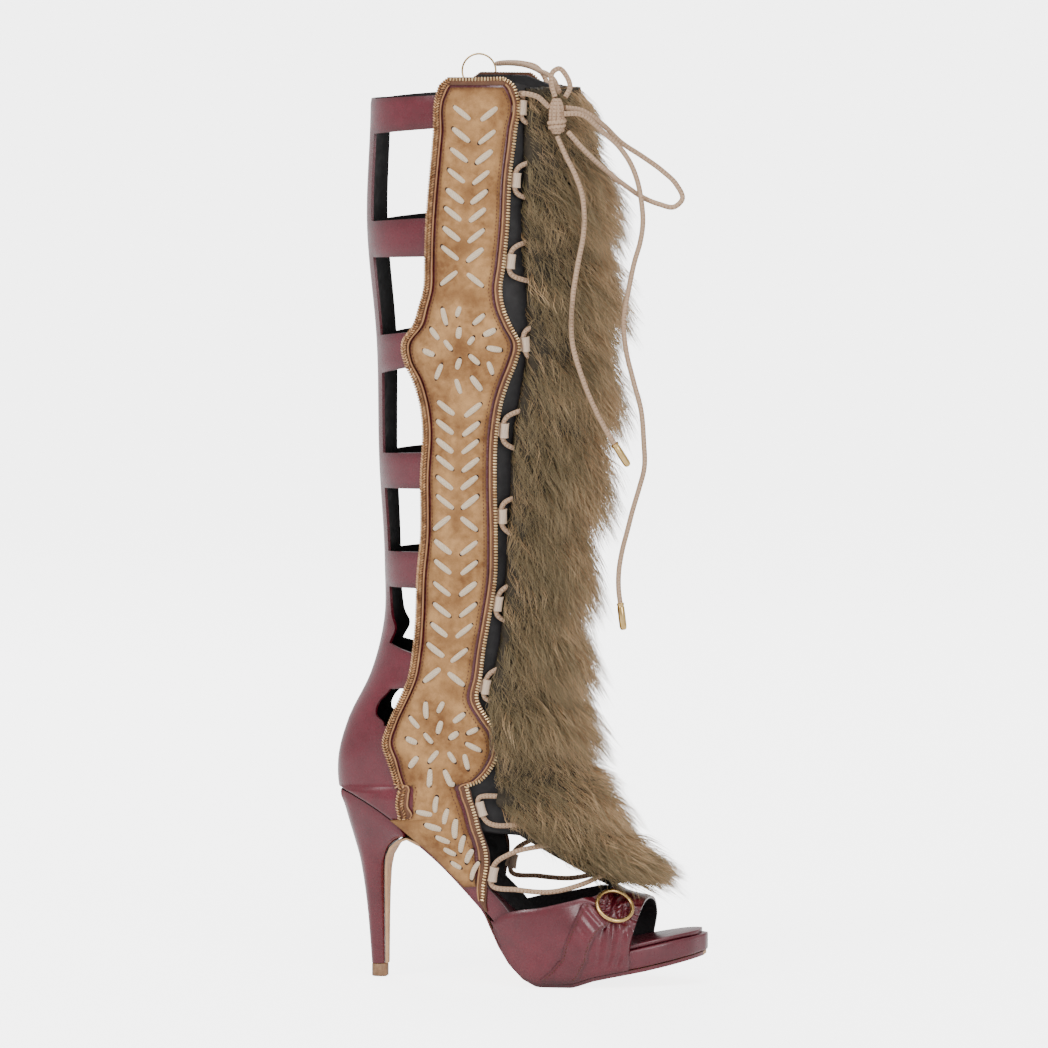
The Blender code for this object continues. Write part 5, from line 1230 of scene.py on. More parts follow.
@dataclass
class Sole:
    """Insole, covered platform, outsole with its breast flap, heel and tip."""

    insole_thickness: float = 0.0027
    insole_inset: float = 0.0044
    outsole_inset: float = 0.0010
    breast_flap: float = 0.0015
    seat_gap: float = 0.0006
    edge_round: float = 0.0016
    stem_turn: float = 0.86
    lip: float = 0.0035
    tip_height: float = 0.0080
    tip_size: float = 0.0100
    tip_rim: float = 0.0004
    dyed_stations: int = 91

    def slab(self, along: np.ndarray, top: np.ndarray, bottom: np.ndarray, inset: float) -> Geometry:
        """Layer over the sole's outline with rounded edges, as rings across it.

        Each ring is a rectangle whose corners are quarter circles of the edge round.

        Args:
            along: shares of the length.
            top: heights of the top.
            bottom: heights of the underside.
            inset: how far the layer stays inside the outline.

        Returns:
            The layer's geometry.
        """
        outer = -np.maximum(FORM.half_width(along, "lateral") - inset, -FORM.ball_width)
        inner = FORM.half_width(along, "medial") - inset
        middle, half = (outer + inner) / 2, np.maximum((inner - outer) / 2, 2 * self.edge_round)
        radius = np.minimum(self.edge_round, (top - bottom) * 0.3)
        turn = np.linspace(0, np.pi / 2, 5)
        quarter = np.stack([1 - np.sin(turn), 1 - np.cos(turn)], 1)
        rings = []
        for side, level, steps in ((1, 1, quarter), (1, -1, quarter[::-1]), (-1, -1, quarter),
                                   (-1, 1, quarter[::-1])):
            y = middle[:, None] + side * (half[:, None] - radius[:, None] * steps[None, :, 0])
            z = np.where(level > 0, top, bottom)[:, None] - level * radius[:, None] * steps[None, :, 1]
            rings.append(np.stack([np.broadcast_to(FORM.x_of(along)[:, None], y.shape), y, z], -1))
        return lofted(np.concatenate(rings, 1))

    def outsole_rings(self) -> np.ndarray:
        """Rings of the outsole from the toe to the arch and down the heel's breast.

        Returns:
            Points, (n, 4, 3).
        """
        stations = np.concatenate([np.linspace(0.992, 0.68, 26), np.linspace(0.67, 0.42, 46),
                                   np.linspace(0.41, 0.24, 20)])
        low = FORM.sole_bottom(stations)
        x = FORM.x_of(stations)
        fronts = np.array([[FORM.x_of(row.front), FORM.seat_height * row.front_height] for row in HEEL_ROWS])
        run = unit(np.gradient(fronts, axis=0))
        away = np.column_stack([-run[:, 1], run[:, 0]])
        near = fronts + away * (FORM.gap + self.seat_gap)
        far = fronts + away * (FORM.gap + self.seat_gap + self.breast_flap)
        seats = np.array([row.seat for row in HEEL_ROWS])
        stem = 1 - 0.25 * (np.pi * (self.stem_turn - 0.5)) ** 2
        width = FORM.ball_width * np.array([row.width for row in HEEL_ROWS]) * 0.94
        width = width * (seats + (1 - seats) * stem)
        top = np.concatenate([np.column_stack([x, low + FORM.outsole_thickness - FORM.gap]), near])
        under = np.concatenate([np.column_stack([x, low]), far])
        outer = np.concatenate([FORM.half_width(stations, "lateral") - self.outsole_inset, width])
        inner = np.concatenate([FORM.half_width(stations, "medial") - self.outsole_inset, width])
        return np.stack([np.column_stack([line[:, 0], reach, line[:, 1]]) for line, reach in
                         ((top, -outer), (top, inner), (under, inner), (under, -outer))], 1)

    def heel_rings(self) -> np.ndarray:
        """Rings of the heel from its seat to its foot, from the heel table.

        Returns:
            Points, (n, 15, 3).
        """
        shares = np.array([0.0, 0.06, 0.19, 0.51, 0.76, 0.97])
        seat = HEEL_ROWS[0]
        seat_along = seat.back + (seat.front - seat.back) * shares
        seat_width = (read_smooth(seat_along, SOLE_ROWS, "lateral")
                      / read_smooth(seat.front, SOLE_ROWS, "lateral"))
        angle = np.linspace(0, np.pi * self.stem_turn, len(shares))
        stem_share = (1 - np.cos(angle)) / (1 - np.cos(angle[-1]))
        stem_width = np.sin(np.minimum(angle, np.pi / 2)) - 0.25 * np.clip(angle - np.pi / 2, 0, 2) ** 2
        rings = []
        for row in HEEL_ROWS:
            share = row.seat * shares + (1 - row.seat) * stem_share
            width = FORM.ball_width * row.width * (row.seat * seat_width + (1 - row.seat) * stem_width)
            share = np.concatenate([share, np.ones(3), share[:0:-1]])
            y = np.concatenate([-width, -width[-1] * np.array([0.5, 0.0, -0.5]), width[:0:-1]])
            x = FORM.x_of(row.back + (row.front - row.back) * share)
            z = FORM.seat_height * (row.back_height + (row.front_height - row.back_height) * share)
            if row.seat == 1.0:
                top = FORM.sole_top((x + FORM.heel_setback) / FORM.shoe_length) - self.seat_gap
                rings.append(np.stack([x, y, top], -1))
            rings.append(np.stack([x, y, z], -1))
        rings = np.array(rings)
        rings[1, :, 2] = np.minimum(rings[1, :, 2], rings[0, :, 2] - self.lip)
        rings[-1, :, 2] = self.tip_height + FORM.gap
        return rings

    def build(self) -> None:
        """Make and dress the pieces of the sole and heel."""
        along = np.linspace(0.064, 0.98, 70)
        top = FORM.sole_top(along) + FORM.gap
        board = self.slab(along, top + self.insole_thickness, top, self.insole_inset)
        insole = made_of("insole_board", board, [COVER_CALF.material()])
        settle(insole, ("insole",))
        along = np.concatenate([np.linspace(0.445, 0.96, 70), np.linspace(0.965, 0.997, 12)])
        bottom = FORM.sole_bottom(along) + FORM.outsole_thickness + FORM.gap
        cover = made_of("covered_platform", self.slab(along, FORM.sole_top(along), bottom, 0.0),
                        [COVER_CALF.material()])
        settle(cover, ("platform",))
        shape = lofted(self.outsole_rings())
        skin = shape.blocks[0]
        dyed = (np.arange(len(skin)) % 4 % 2 == 1) & (np.arange(len(skin)) < 4 * self.dyed_stations)
        shape = shape._replace(blocks=[skin[~dyed], skin[dyed], *shape.blocks[1:]], slots=[0, 1, 0, 0])
        leather = made_of("leather_outsole", shape, [TAN_HIDE.material(), BURGUNDY.material()], 30.0)
        settle(leather, ("outsole",))
        rings = self.heel_rings()
        keys = np.arange(len(rings))
        fine = through(keys, rings, np.concatenate([[0, 0.5], np.linspace(1, keys[-1], 70)]))
        closed = np.concatenate([fine[:, -2:], fine, fine[:, :3]], 1).transpose(1, 0, 2)
        size = rings.shape[1]
        turned = through(np.arange(-2, size + 3), closed, np.arange(0, size, 0.25)).transpose(1, 0, 2)
        stem = made_of("covered_heel", lofted(turned), [BURGUNDY.material()], 60.0)
        settle(stem, ("heel",))
        foot = turned[-1]
        centre = (foot.max(0) + foot.min(0)) / 2
        spread = foot[:, :2] - centre[:2]
        spread = spread * (self.tip_size / 2 / np.abs(spread).max(0))
        tip = []
        for height, shrink in ((self.tip_height, self.tip_rim), (self.tip_height - self.tip_rim, 0.0),
                               (self.tip_rim, 0.0), (0.0, self.tip_rim)):
            flat = spread * (1 - shrink / self.tip_size * 2) + centre[:2] * (0, 1)
            tip.append(np.column_stack([flat, np.full(len(foot), height)]))
        block = made_of("heel_top_piece", lofted(np.array(tip)), [TIP_BROWN.material()])
        settle(block, ("heel_tip",))


@dataclass
class Cage:
    """Burgundy cage, heel cup and wings in one lined wall."""

    outline: Outline
    wall: float = 0.0020
    wing_inset: float = 0.0010
    crown: float = 0.0006
    row_steps: int = 5
    column_steps: tuple = (5, 6, 8, 3, 3, 3)

    def marks(self) -> tuple:
        """Levels, ways around and kept cells of the coarse grid, as in the solid.

        Returns:
            Two grids and the mask of the cells.
        """
        rises, arounds, keeps = [], [], []
        for row in CAGE_ROWS:
            back, front = (float(self.outline.edge(row.side, name)) for name in ("back", "front"))
            splits = back + (front - back) * np.array([1 / 3, 2 / 3])
            back += self.wing_inset * float(FORM.reach(row.side, back))
            front -= self.wing_inset * float(FORM.reach(row.side, front))
            marks = [TINY, row.spine, row.inner, back, *splits, front]
            shares = np.clip((np.array(marks) - row.spine) / (back - row.spine), 0.0, 1.0)
            arounds.append(marks)
            rises.append(row.back + (row.side - row.back) * shares)
            keeps.append(row.band.value + (True, True, True))
        for rise, end in FOOT_ROWS:
            back, front = (float(self.outline.edge(rise, name)) for name in ("back", "front"))
            splits = back + (front - back) * np.array([1 / 3, 2 / 3])
            arounds.append(np.maximum([TINY, back * 0.35, back * 0.70, back, *splits, end], TINY))
            rises.append([rise] * 7)
            keeps.append((True,) * 6)
        return np.array(rises, float), np.array(arounds, float), np.array(keeps[:-1])

    def half(self, sign: float) -> tuple:
        """One side's fine grid: rows on cubic curves through the marks, columns straight.

        Args:
            sign: -1 for the outer side, 1 for the inner.

        Returns:
            Points, normals and kept cells.
        """
        rise, around, keep = self.marks()
        seat = len(CAGE_ROWS)
        keys = np.arange(len(rise))
        fine = np.unique(np.concatenate([np.arange(0, seat, 1 / self.row_steps),
                                         np.arange(seat, len(rise) - 1 + 1e-6, 1 / 3)]))
        splits = [np.arange(steps) / steps + n for n, steps in enumerate(self.column_steps)]
        columns = np.concatenate(splits + [[6.0]])
        whole = np.floor(columns).astype(int).clip(0, 5)
        part = columns - whole
        rise, around = through(keys, rise, fine), np.maximum(through(keys, around, fine), TINY)
        rise = rise[:, whole] * (1 - part) + rise[:, whole + 1] * part
        around = around[:, whole] * (1 - part) + around[:, whole + 1] * part
        rows = np.floor(fine[:-1] + 1e-6).astype(int)
        cells = keep[rows][:, whole[:-1]]
        around = sign * around
        points = FORM.point(rise, around)
        middle = (rise >= 0) & (np.abs(around) < 1e-6)
        points[..., 1] = np.where(middle, 0.0, points[..., 1])
        return points, FORM.normal(rise, around), cells

    def build(self) -> None:
        """Make the lined wall."""
        sides = [self.half(-1.0), self.half(1.0)]
        points = np.concatenate([sides[0][0][:, ::-1], sides[1][0]], 1)
        normals = np.concatenate([sides[0][1][:, ::-1], sides[1][1]], 1)
        bridge = np.zeros((len(points) - 1, 1), bool)
        keep = np.concatenate([sides[0][2][:, ::-1], bridge, sides[1][2]], 1)
        shape = wall(points, normals, keep, -self.crown * 0.6, -self.wall, self.crown, 0.0022, 1)
        made = made_of("lined_upper", shape, [BURGUNDY.material(), LINING.material()], 60.0)
        settle(made, ("upper",))


@dataclass
class SidePanel:
    """Suede panel of one side with its embroidery, zip teeth, piping and stitch lines."""

    outline: Outline
    side: int
    word: str
    trim_width: float = 0.0050
    panel_wall: float = 0.0016
    panel_gap: float = 0.0014
    clear: float = 0.0004
    trim_end: float = -0.156
    panel_end: float = -0.364
    stitch_width: float = 0.0037
    stitch_height: float = 0.0015

    def strip(self, rise: np.ndarray, first: np.ndarray, last: np.ndarray, columns: int) -> tuple:
        """Grid between two edges.

        Args:
            rise: levels.
            first: ways around of one edge.
            last: ways around of the other edge.
            columns: points across.

        Returns:
            Points and normals.
        """
        share = np.linspace(0, 1, columns)
        around = self.side * np.maximum(first[:, None] + (last - first)[:, None] * share, TINY)
        level = np.repeat(rise[:, None], columns, 1)
        return FORM.point(level, around), FORM.normal(level, around)

    def suede(self) -> Geometry:
        """Panel: a crowned wall between the trims, with slow waves over its skin.

        Returns:
            The panel's geometry.
        """
        top = 1.0 - (self.trim_width + self.panel_gap) / FORM.leg_height
        rise = FORM.levels(top, self.panel_end, 0.0022)
        back, front = self.outline.inset(rise, self.trim_width + self.panel_gap)
        back = np.where(rise < self.trim_end, TINY, back)
        points, normals = self.strip(rise, back, np.maximum(front, back + 1e-4), 22)
        keep = np.ones((len(rise) - 1, 21), bool)
        base = self.clear + self.panel_wall - 0.0006
        high = base + 0.00035 * ripple(points * 140, 0.7 + self.side)
        pairs = np.array(STITCH_ROWS)
        middle = FORM.point((pairs[:, 0] + pairs[:, 2]) / 2, self.side * (pairs[:, 1] + pairs[:, 3]) / 2)
        apart = np.sqrt(((points[:, :, None] - middle) ** 2).sum(-1)).min(-1)
        shade = 0.35 + 0.65 * ripple(points * 95, 2.0) - np.exp(-(apart / 0.006) ** 2)
        return wall(points, normals, keep, high, self.clear, 0.0009, 0.004, 0,
                    {"shade": np.clip(shade, 0, 1)})

    def tape(self) -> Geometry:
        """Tape under the teeth along the back, top and front edges.

        Returns:
            The tape's geometry.
        """
        below = 1.0 - self.trim_width / FORM.leg_height
        strips = []
        rise = FORM.levels(1.0, self.trim_end, 0.0022)
        inner, _ = self.outline.inset(rise, self.trim_width)
        strips.append((rise, self.outline.edge(rise, "back"), inner))
        rise = FORM.levels(1.0, -0.425, 0.0022)
        _, inner = self.outline.inset(rise, self.trim_width)
        edge = self.outline.edge(rise, "front")
        strips.append((rise, np.maximum(inner, TINY), np.maximum(edge, inner + 1e-4)))
        rise = np.linspace(1.0, below, 5)
        strips.append((rise, self.outline.edge(rise, "back"), self.outline.edge(rise, "front")))
        parts = []
        for rise, first, last in strips:
            points, normals = self.strip(rise, first, last, 7 if len(rise) > 5 else 30)
            keep = np.ones((points.shape[0] - 1, points.shape[1] - 1), bool)
            parts.append(wall(points, normals, keep, self.clear + 0.0008, self.clear, 0.0006, 0.0012))
        return joined(parts)

    def line(self, edge: str, inset: float, pitch: float, stop: float) -> tuple:
        """Places an equal pitch apart along an edge, at an inset from it.

        Args:
            edge: back, front or top.
            inset: distance inside the edge.
            pitch: distance between places.
            stop: level where the line ends.

        Returns:
            Levels and ways around of the places.
        """
        if edge == "top":
            rise = np.full(160, 1.0 - inset / FORM.leg_height)
            first, last = self.outline.inset(rise[:1], inset)
            around = np.linspace(float(first[0]), float(last[0]), 160)
        else:
            rise = FORM.levels(1.0 - inset / FORM.leg_height, stop, 0.001)
            around = self.outline.inset(rise, inset)[0 if edge == "back" else 1]
        around = np.maximum(around, TINY)
        run = run_of(FORM.point(rise, self.side * around))
        stops = np.arange(pitch / 2, run[-1], pitch)
        return np.interp(stops, run, rise), self.side * np.interp(stops, run, around)

    def row_of(self, one: Geometry, rise: np.ndarray, around: np.ndarray, height: float, size: tuple,
               slant: float, seed: int) -> Geometry:
        """Row of small shapes laid across a line on the form.

        Args:
            one: the small shape.
            rise: levels of the places.
            around: ways around of the places.
            height: height of the shapes' middles over the form.
            size: half sizes across the line, along it and outward.
            slant: angle in degrees that the shapes lean along the line.
            seed: seed of their tones.

        Returns:
            The row's geometry.
        """
        centre = FORM.lifted(rise, around, np.full(len(rise), height))
        out = FORM.normal(rise, around)
        along = unit(np.gradient(centre, axis=0))
        across = np.cross(out, along)
        lean = np.radians(slant)
        x = unit(across * np.cos(lean) + along * np.sin(lean))
        y = np.cross(out, x)
        tone = np.random.default_rng(seed).uniform(0, 1, len(rise))
        return scattered(one, centre, x * size[0], y * size[1], out * size[2], tone)

    def stitches(self) -> tuple:
        """Embroidery: flat twisted bars between two places, and dark spots of painted shade at their ends.

        A bar's middle line runs straight in level and way around; its height is a half sine to a
        power, so that both ends dive into the suede.

        Returns:
            Geometry of the bars and of the painted shade spots.
        """
        ends = np.array(STITCH_ROWS)
        share = np.linspace(-0.04, 1.04, 13)
        rise = ends[:, :1] + (ends[:, 2:3] - ends[:, :1]) * share
        around = self.side * (ends[:, 1:2] + (ends[:, 3:4] - ends[:, 1:2]) * share)
        arch = np.clip(np.sin(np.pi * np.clip((share + 0.04) / 1.08, 0, 1)), 0, 1) ** 0.45
        base = self.clear + self.panel_wall
        rng = np.random.default_rng(11)
        centre = FORM.lifted(rise, around, base - 0.0002 + 0.0008 * np.broadcast_to(arch, rise.shape))
        out = FORM.normal(rise, around)
        along = unit(np.gradient(centre, axis=1))
        across = np.cross(out, along)
        turn = np.arange(10) * 2 * np.pi / 10
        fat = rng.uniform(0.88, 1.1, len(ends))[:, None, None, None]
        width = fat * self.stitch_width / 2 * (0.45 + 0.55 * arch)[None, :, None, None]
        height = self.stitch_height / 2 * (0.5 + 0.5 * arch)[None, :, None, None]
        flat = np.sign(np.cos(turn)) * np.abs(np.cos(turn)) ** 0.8
        rings = (centre[:, :, None] + width * flat[:, None] * across[:, :, None]
                 + height * np.sin(turn)[:, None] * out[:, :, None])
        parts = [lofted(one) for one in rings]
        run = np.linalg.norm(centre[:, -1] - centre[:, 0], axis=-1)
        values = {"along": np.repeat((run[:, None] * share)[:, :, None], 10, 2).reshape(len(ends), -1),
                  "turn": np.tile(flat * 0.9, (len(ends), len(share), 1)).reshape(len(ends), -1)}
        parts = [part._replace(values={key: numbers[n] for key, numbers in values.items()})
                 for n, part in enumerate(parts)]
        # Painted shade: a flat dark lens on the suede at each stitch end stands for its shaded hole.
        spots = np.concatenate([ends[:, :2], ends[:, 2:]])
        rise, around = spots[:, 0], self.side * spots[:, 1]
        place = FORM.lifted(rise, around, np.full(len(rise), base + 0.0001))
        out, up = FORM.normal(rise, around), FORM.down(rise, around)
        size = rng.uniform(0.0010, 0.0015, len(rise))[:, None]
        hole_shades = scattered(bead(3, 8, 1.0), place, up * size, np.cross(out, up) * size * 0.9, out * 0.0003)
        return joined(parts), hole_shades

    def build(self) -> None:
        """Make and dress the panel and everything sewn to it."""
        panel, trim = f"panel_{self.word}", f"zip_trim_{self.word}"
        bars, hole_shades = self.stitches()
        made = made_of(f"suede_{self.word}", self.suede(), [SUEDE.material()], 60.0)
        settle(made, (panel,))
        settle(made_of(f"embroidery_{self.word}", bars, [CREAM.material()], 80.0), ())
        settle(made_of(f"stitch_hole_shades_{self.word}", hole_shades, [HOLE_SHADE.material()]), ())
        settle(made_of(f"zip_tape_{self.word}", self.tape(), [TAPE.material()]), (trim,))
        tooth, coil = bead(3, 6, 0.7), bead(2, 6, 0.85)
        over = self.clear + 0.0019
        rows = []
        for edge, stop in (("front", -0.40), ("top", 0.0)):
            rise, around = self.line(edge, 0.0013, 0.00185, stop)
            rows.append(self.row_of(tooth, rise, around, over, (0.00135, 0.00062, 0.0010), 4.0, 5))
        teeth = made_of(f"zip_teeth_{self.word}", joined(rows), [TEETH.material()])
        settle(teeth, ())
        rows = []
        for inset, slant in ((0.0008, 38.0), (0.0027, -38.0)):
            rise, around = self.line("back", inset, 0.00165, self.trim_end)
            rows.append(self.row_of(coil, rise, around, over, (0.00150, 0.00058, 0.0010), slant, 6))
        settle(made_of(f"zip_coil_{self.word}", joined(rows), [BRONZE.material()]), ())
        cords = []
        for edge, inset, stop in (("back", 0.0046, self.trim_end), ("front", 0.0042, -0.40)):
            rise, around = self.line(edge, inset, 0.0012, stop)
            path = FORM.lifted(rise, around, np.full(len(rise), self.clear + 0.0013))
            cords.append(tube(path, 0.00055, 6, FORM.normal(rise, around)))
        settle(made_of(f"piping_{self.word}", joined(cords), [PIPING.material()]), ())
        dots = []
        for edge, inset, stop in (("front", 0.0082, -0.36), ("back", 0.0076, self.trim_end)):
            rise, around = self.line(edge, inset, 0.0023, stop)
            height = self.clear + self.panel_wall + 0.0001
            dots.append(self.row_of(coil, rise, around, height, (0.0003, 0.00075, 0.00025), 0.0, 7))
        settle(made_of(f"stitch_lines_{self.word}", joined(dots), [STITCH_BROWN.material()]), ())


@dataclass
class Tongue:
    """Black lined tongue behind the laces."""

    outline: Outline
    upper_wall: float = 0.0020
    thickness: float = 0.0018
    clear: float = 0.0004
    dip: float = 0.020

    def build(self) -> None:
        """Make the tongue: a wall tucked under both wings, dipped in the middle of its top."""
        foot = TONGUE_ROWS[0][0]
        rise = FORM.levels(0.997, -0.425, 0.004)
        front = self.outline.edge(rise, "front")
        back = self.outline.edge(rise, "back")
        edge = front - 0.001 * FORM.reach(rise, front)
        low = read_straight(rise, TONGUE_ROWS, 1)
        edge = np.where(rise > foot, edge, low)
        tucked = np.where(rise > foot, back + (front - back) * 2 / 3, low - 0.01)
        spread = np.linspace(-1, 1, 25)
        offset = np.concatenate([(tucked - 1)[:, None], spread * (1 - edge)[:, None],
                                 (1 - tucked)[:, None]], 1)
        level = rise[:, None] - self.dip * np.clip(rise - 0.9, 0, 1)[:, None] / 0.1 * (
            1 - np.clip(offset / (1 - edge)[:, None], -1, 1) ** 2)
        around = front_way(offset)
        points, normals = FORM.point(level, around), FORM.normal(level, around)
        high = -(self.upper_wall + self.clear)
        keep = np.ones((len(rise) - 1, offset.shape[1] - 1), bool)
        shape = wall(points, normals, keep, high, high - self.thickness)
        settle(made_of("lined_tongue", shape, [LINING.material()]), ("tongue",))


@dataclass
class Lacing:
    """Keepers, crossed lace, knot, loops, free ends and their tips."""

    outline: Outline
    diameter: float = 0.0032
    upper_wall: float = 0.0020
    keeper_width: float = 0.0056
    keeper_height: float = 0.0090
    keeper_wall: float = 0.0007
    clearance: float = 0.0006
    ease: float = 0.06
    straight: float = 0.0022
    lift: float = 0.0022
    foot_lift: float = 0.0038
    overpass: float = 0.0037
    bar_lift: float = 0.0012
    knot: tuple = (0.1195, -0.0450, 0.5385)
    knot_radii: tuple = (0.0046, 0.0046, 0.0115)
    tip_diameter: float = 0.0046
    tip_length: float = 0.0165

    def front_edge(self, rise: np.ndarray) -> np.ndarray:
        """Way around of the panel's front edge, on the table's straight lines."""
        return read_straight(rise, PANEL_ROWS, 2)

    def keeper_frame(self, rise: float, side: int) -> tuple:
        """Centre of a lace keeper and its directions.

        Args:
            rise: level of the keeper.
            side: -1 for the outer side, 1 for the inner.

        Returns:
            Centre, forward, up and out.
        """
        span = self.keeper_height / 2 / (FORM.leg_height if rise > 0 else FORM.shoe_length)
        level = np.array([rise - span, rise, rise + span])
        edge = self.front_edge(level)
        around = side * (edge + (self.clearance + self.keeper_width / 2) * FORM.reach(level, edge))
        height = (self.diameter + 2 * self.keeper_wall + 4 * FORM.gap) / 2 - self.upper_wall
        points = FORM.point(level, around)
        out = FORM.normal(level, around)[1]
        up = points[2] - points[0]
        up = unit(up - out * (up @ out))
        return points[1] + out * height, -side * np.cross(up, out), up, out

    def keepers(self, side: int) -> Geometry:
        """Tape loops round the lace, each a flattened ring with a tail under the panel's edge.

        Args:
            side: -1 for the outer side, 1 for the inner.

        Returns:
            Geometry of the side's keepers.
        """
        turn = np.linspace(0, 2 * np.pi, 25)[:-1]
        half_out = (self.diameter + 4 * FORM.gap) / 2 + self.keeper_wall
        parts = []
        for rise in KEEPER_RISES:
            centre, forward, up, out = self.keeper_frame(rise, side)
            level = np.linspace(-1, 1, 9)
            pinch = 1 - 0.10 * (1 - level**2)
            rings = []
            for wall_part, order in ((0.0, 1), (self.keeper_wall, -1)):
                square = [np.sign(part) * np.abs(part) ** 0.75 for part in (np.cos(turn), np.sin(turn))]
                a = square[0] * (self.keeper_width / 2 - wall_part)
                b = square[1] * (half_out - wall_part)
                rows = (centre + up * (level[::order] * self.keeper_height / 2)[:, None, None]
                        + forward * (a * pinch[:, None])[..., None] + out * b[:, None])
                rings.append(rows)
            skin = np.concatenate(rings, 0)
            loop = lofted(skin, caps=False)
            across = np.repeat((level * 0.5)[:, None], 24, 1)
            loop = loop._replace(values={"along": np.tile(np.repeat(turn[None] * 0.002, 9, 0), (2, 1)),
                                         "turn": np.concatenate([across, across[::-1]])})
            reach = np.linspace(-0.0068, -0.0016, 5)
            tail = np.array([[centre + forward * step + up * a * self.keeper_height * (0.36 + 0.10 * n / 4)
                              + out * (b - half_out + 0.0016 + 0.0007 * (4 - n) / 4)
                              for a, b in ((-1, -0.0004), (1, -0.0004), (1, 0.0004), (-1, 0.0004))]
                             for n, step in enumerate(reach)])
            parts += [loop, lofted(tail)]
        return joined(parts)

    def path(self) -> np.ndarray:
        """Centre line of the crossed lace, down one way and up the other, as in the solid.

        Between keepers the line's height over the form is a squared half sine, higher where it
        passes over the other run.

        Returns:
            Points of the route.
        """
        reach = self.keeper_height / 2 + self.straight
        last = len(KEEPER_RISES) - 1

        def at_keeper(number: int, side: int) -> list:
            centre, _, up, _ = self.keeper_frame(KEEPER_RISES[number], side)
            return [centre + up * reach, centre - up * reach]

        def offset_of(number: int, side: int) -> float:
            rise = KEEPER_RISES[number]
            edge = float(self.front_edge(rise))
            return side * (1 - edge - self.keeper_width / 2 * float(FORM.reach(rise, edge)))

        def crossing(number: int, side: int, height: float) -> list:
            start, end = offset_of(number, side), offset_of(number + 1, -side)
            high, low = KEEPER_RISES[number], KEEPER_RISES[number + 1]
            base = self.lift if high > 0 else self.foot_lift
            high -= reach / (FORM.leg_height if high > 0 else FORM.shoe_length)
            low += reach / (FORM.leg_height if low > 0 else FORM.shoe_length)
            step = np.array(LACE_STEPS)
            eased = step - self.ease * np.sin(2 * np.pi * step)
            lifted = height * np.sin(np.pi * step) ** 2 + base
            way = front_way(start + (end - start) * eased)
            return list(FORM.lifted(high + (low - high) * step, way, lifted))

        def run(side: int, height: float) -> list:
            found = []
            for number in range(last):
                found += at_keeper(number, side) + crossing(number, side, height)
                side = -side
            return found + at_keeper(last, side)

        step = 3 * self.diameter
        offset, fall = np.array(BAR_STATIONS).T
        bar = FORM.lifted(KEEPER_RISES[last] - fall, front_way(offset), np.full(len(fall), self.bar_lift))
        return np.array(list(spaced(OUTER_TIE[::-1], step)) + run(-1, 0.0) + list(bar[::-1])
                        + run(1, self.overpass)[::-1] + list(spaced(INNER_TIE[::-1], step)))

    def round_lace(self, name: str, path: np.ndarray, centre: np.ndarray = None) -> bpy.types.Object:
        """Round braided lace along a path.

        Args:
            name: name of the piece.
            path: centre line.
            centre: point that the section's zero angle faces away from, or none for the leg.

        Returns:
            The piece.
        """
        if centre is None:
            shin = np.column_stack([np.full(len(path), 0.05), np.zeros(len(path)), path[:, 2] - 0.004])
            reference = path - shin
        else:
            reference = path - centre
        return made_of(name, tube(path, self.diameter / 2, 12, unit(reference)), [CORD.material()], 80.0)

    def knot_shape(self) -> Geometry:
        """Knot: upright strands on the ellipsoid and a wrap of two turns round its lower part.

        Returns:
            The knot's geometry.
        """
        centre, radii = np.array(self.knot), np.array(self.knot_radii)
        polar = np.linspace(-1.25, 1.25, 22)
        thin = self.diameter / 2 * 0.95
        parts = []
        for angle in np.radians([-150, -105, -60, -15, 60, 150]):
            size = radii - thin * 0.6
            path = centre + np.stack([np.cos(polar) * np.cos(angle) * size[0],
                                      np.cos(polar) * np.sin(angle) * size[1],
                                      np.sin(polar) * size[2]], 1)
            parts.append(tube(path, thin, 10, unit(path - centre)))
        turn = np.linspace(0, 4.4 * np.pi, 90)
        height = -0.0085 + 0.0062 * turn / turn[-1]
        size = radii[0] * 0.92 * np.sqrt(np.clip(1 - (height / radii[2]) ** 2, 0.2, 1)) + thin * 0.35
        path = centre + np.stack([np.cos(turn) * size, np.sin(turn) * size, height], 1)
        parts.append(tube(path, thin, 10, np.array([0.0, 0.0, 1.0])))
        return joined(parts)

    def tip(self, name: str, route: tuple) -> bpy.types.Object:
        """Metal lace tip: a rolled tube with a crimped mouth and a rounded point.

        Args:
            name: name of the piece.
            route: route of the lace that it closes.

        Returns:
            The piece.
        """
        run = unit(np.array(route[-1]) - np.array(route[-2]))
        start = np.array(route[-1]) - run * 0.0003
        share = np.array([0.0, 0.012, 0.05, 0.09, 0.12, 0.16, 0.5, 0.84, 0.93, 0.98, 1.0])
        size = np.array([0.80, 0.98, 1.0, 0.98, 0.86, 0.98, 1.0, 0.99, 0.92, 0.74, 0.50])
        path = start + run * share[:, None] * (self.tip_length + 0.0003)
        across = unit(np.cross(run, (0.0, 1.0, 0.0)))
        return made_of(name, tube(path, self.tip_diameter / 2 * size, 24, across), [GOLD.material()], 40.0)

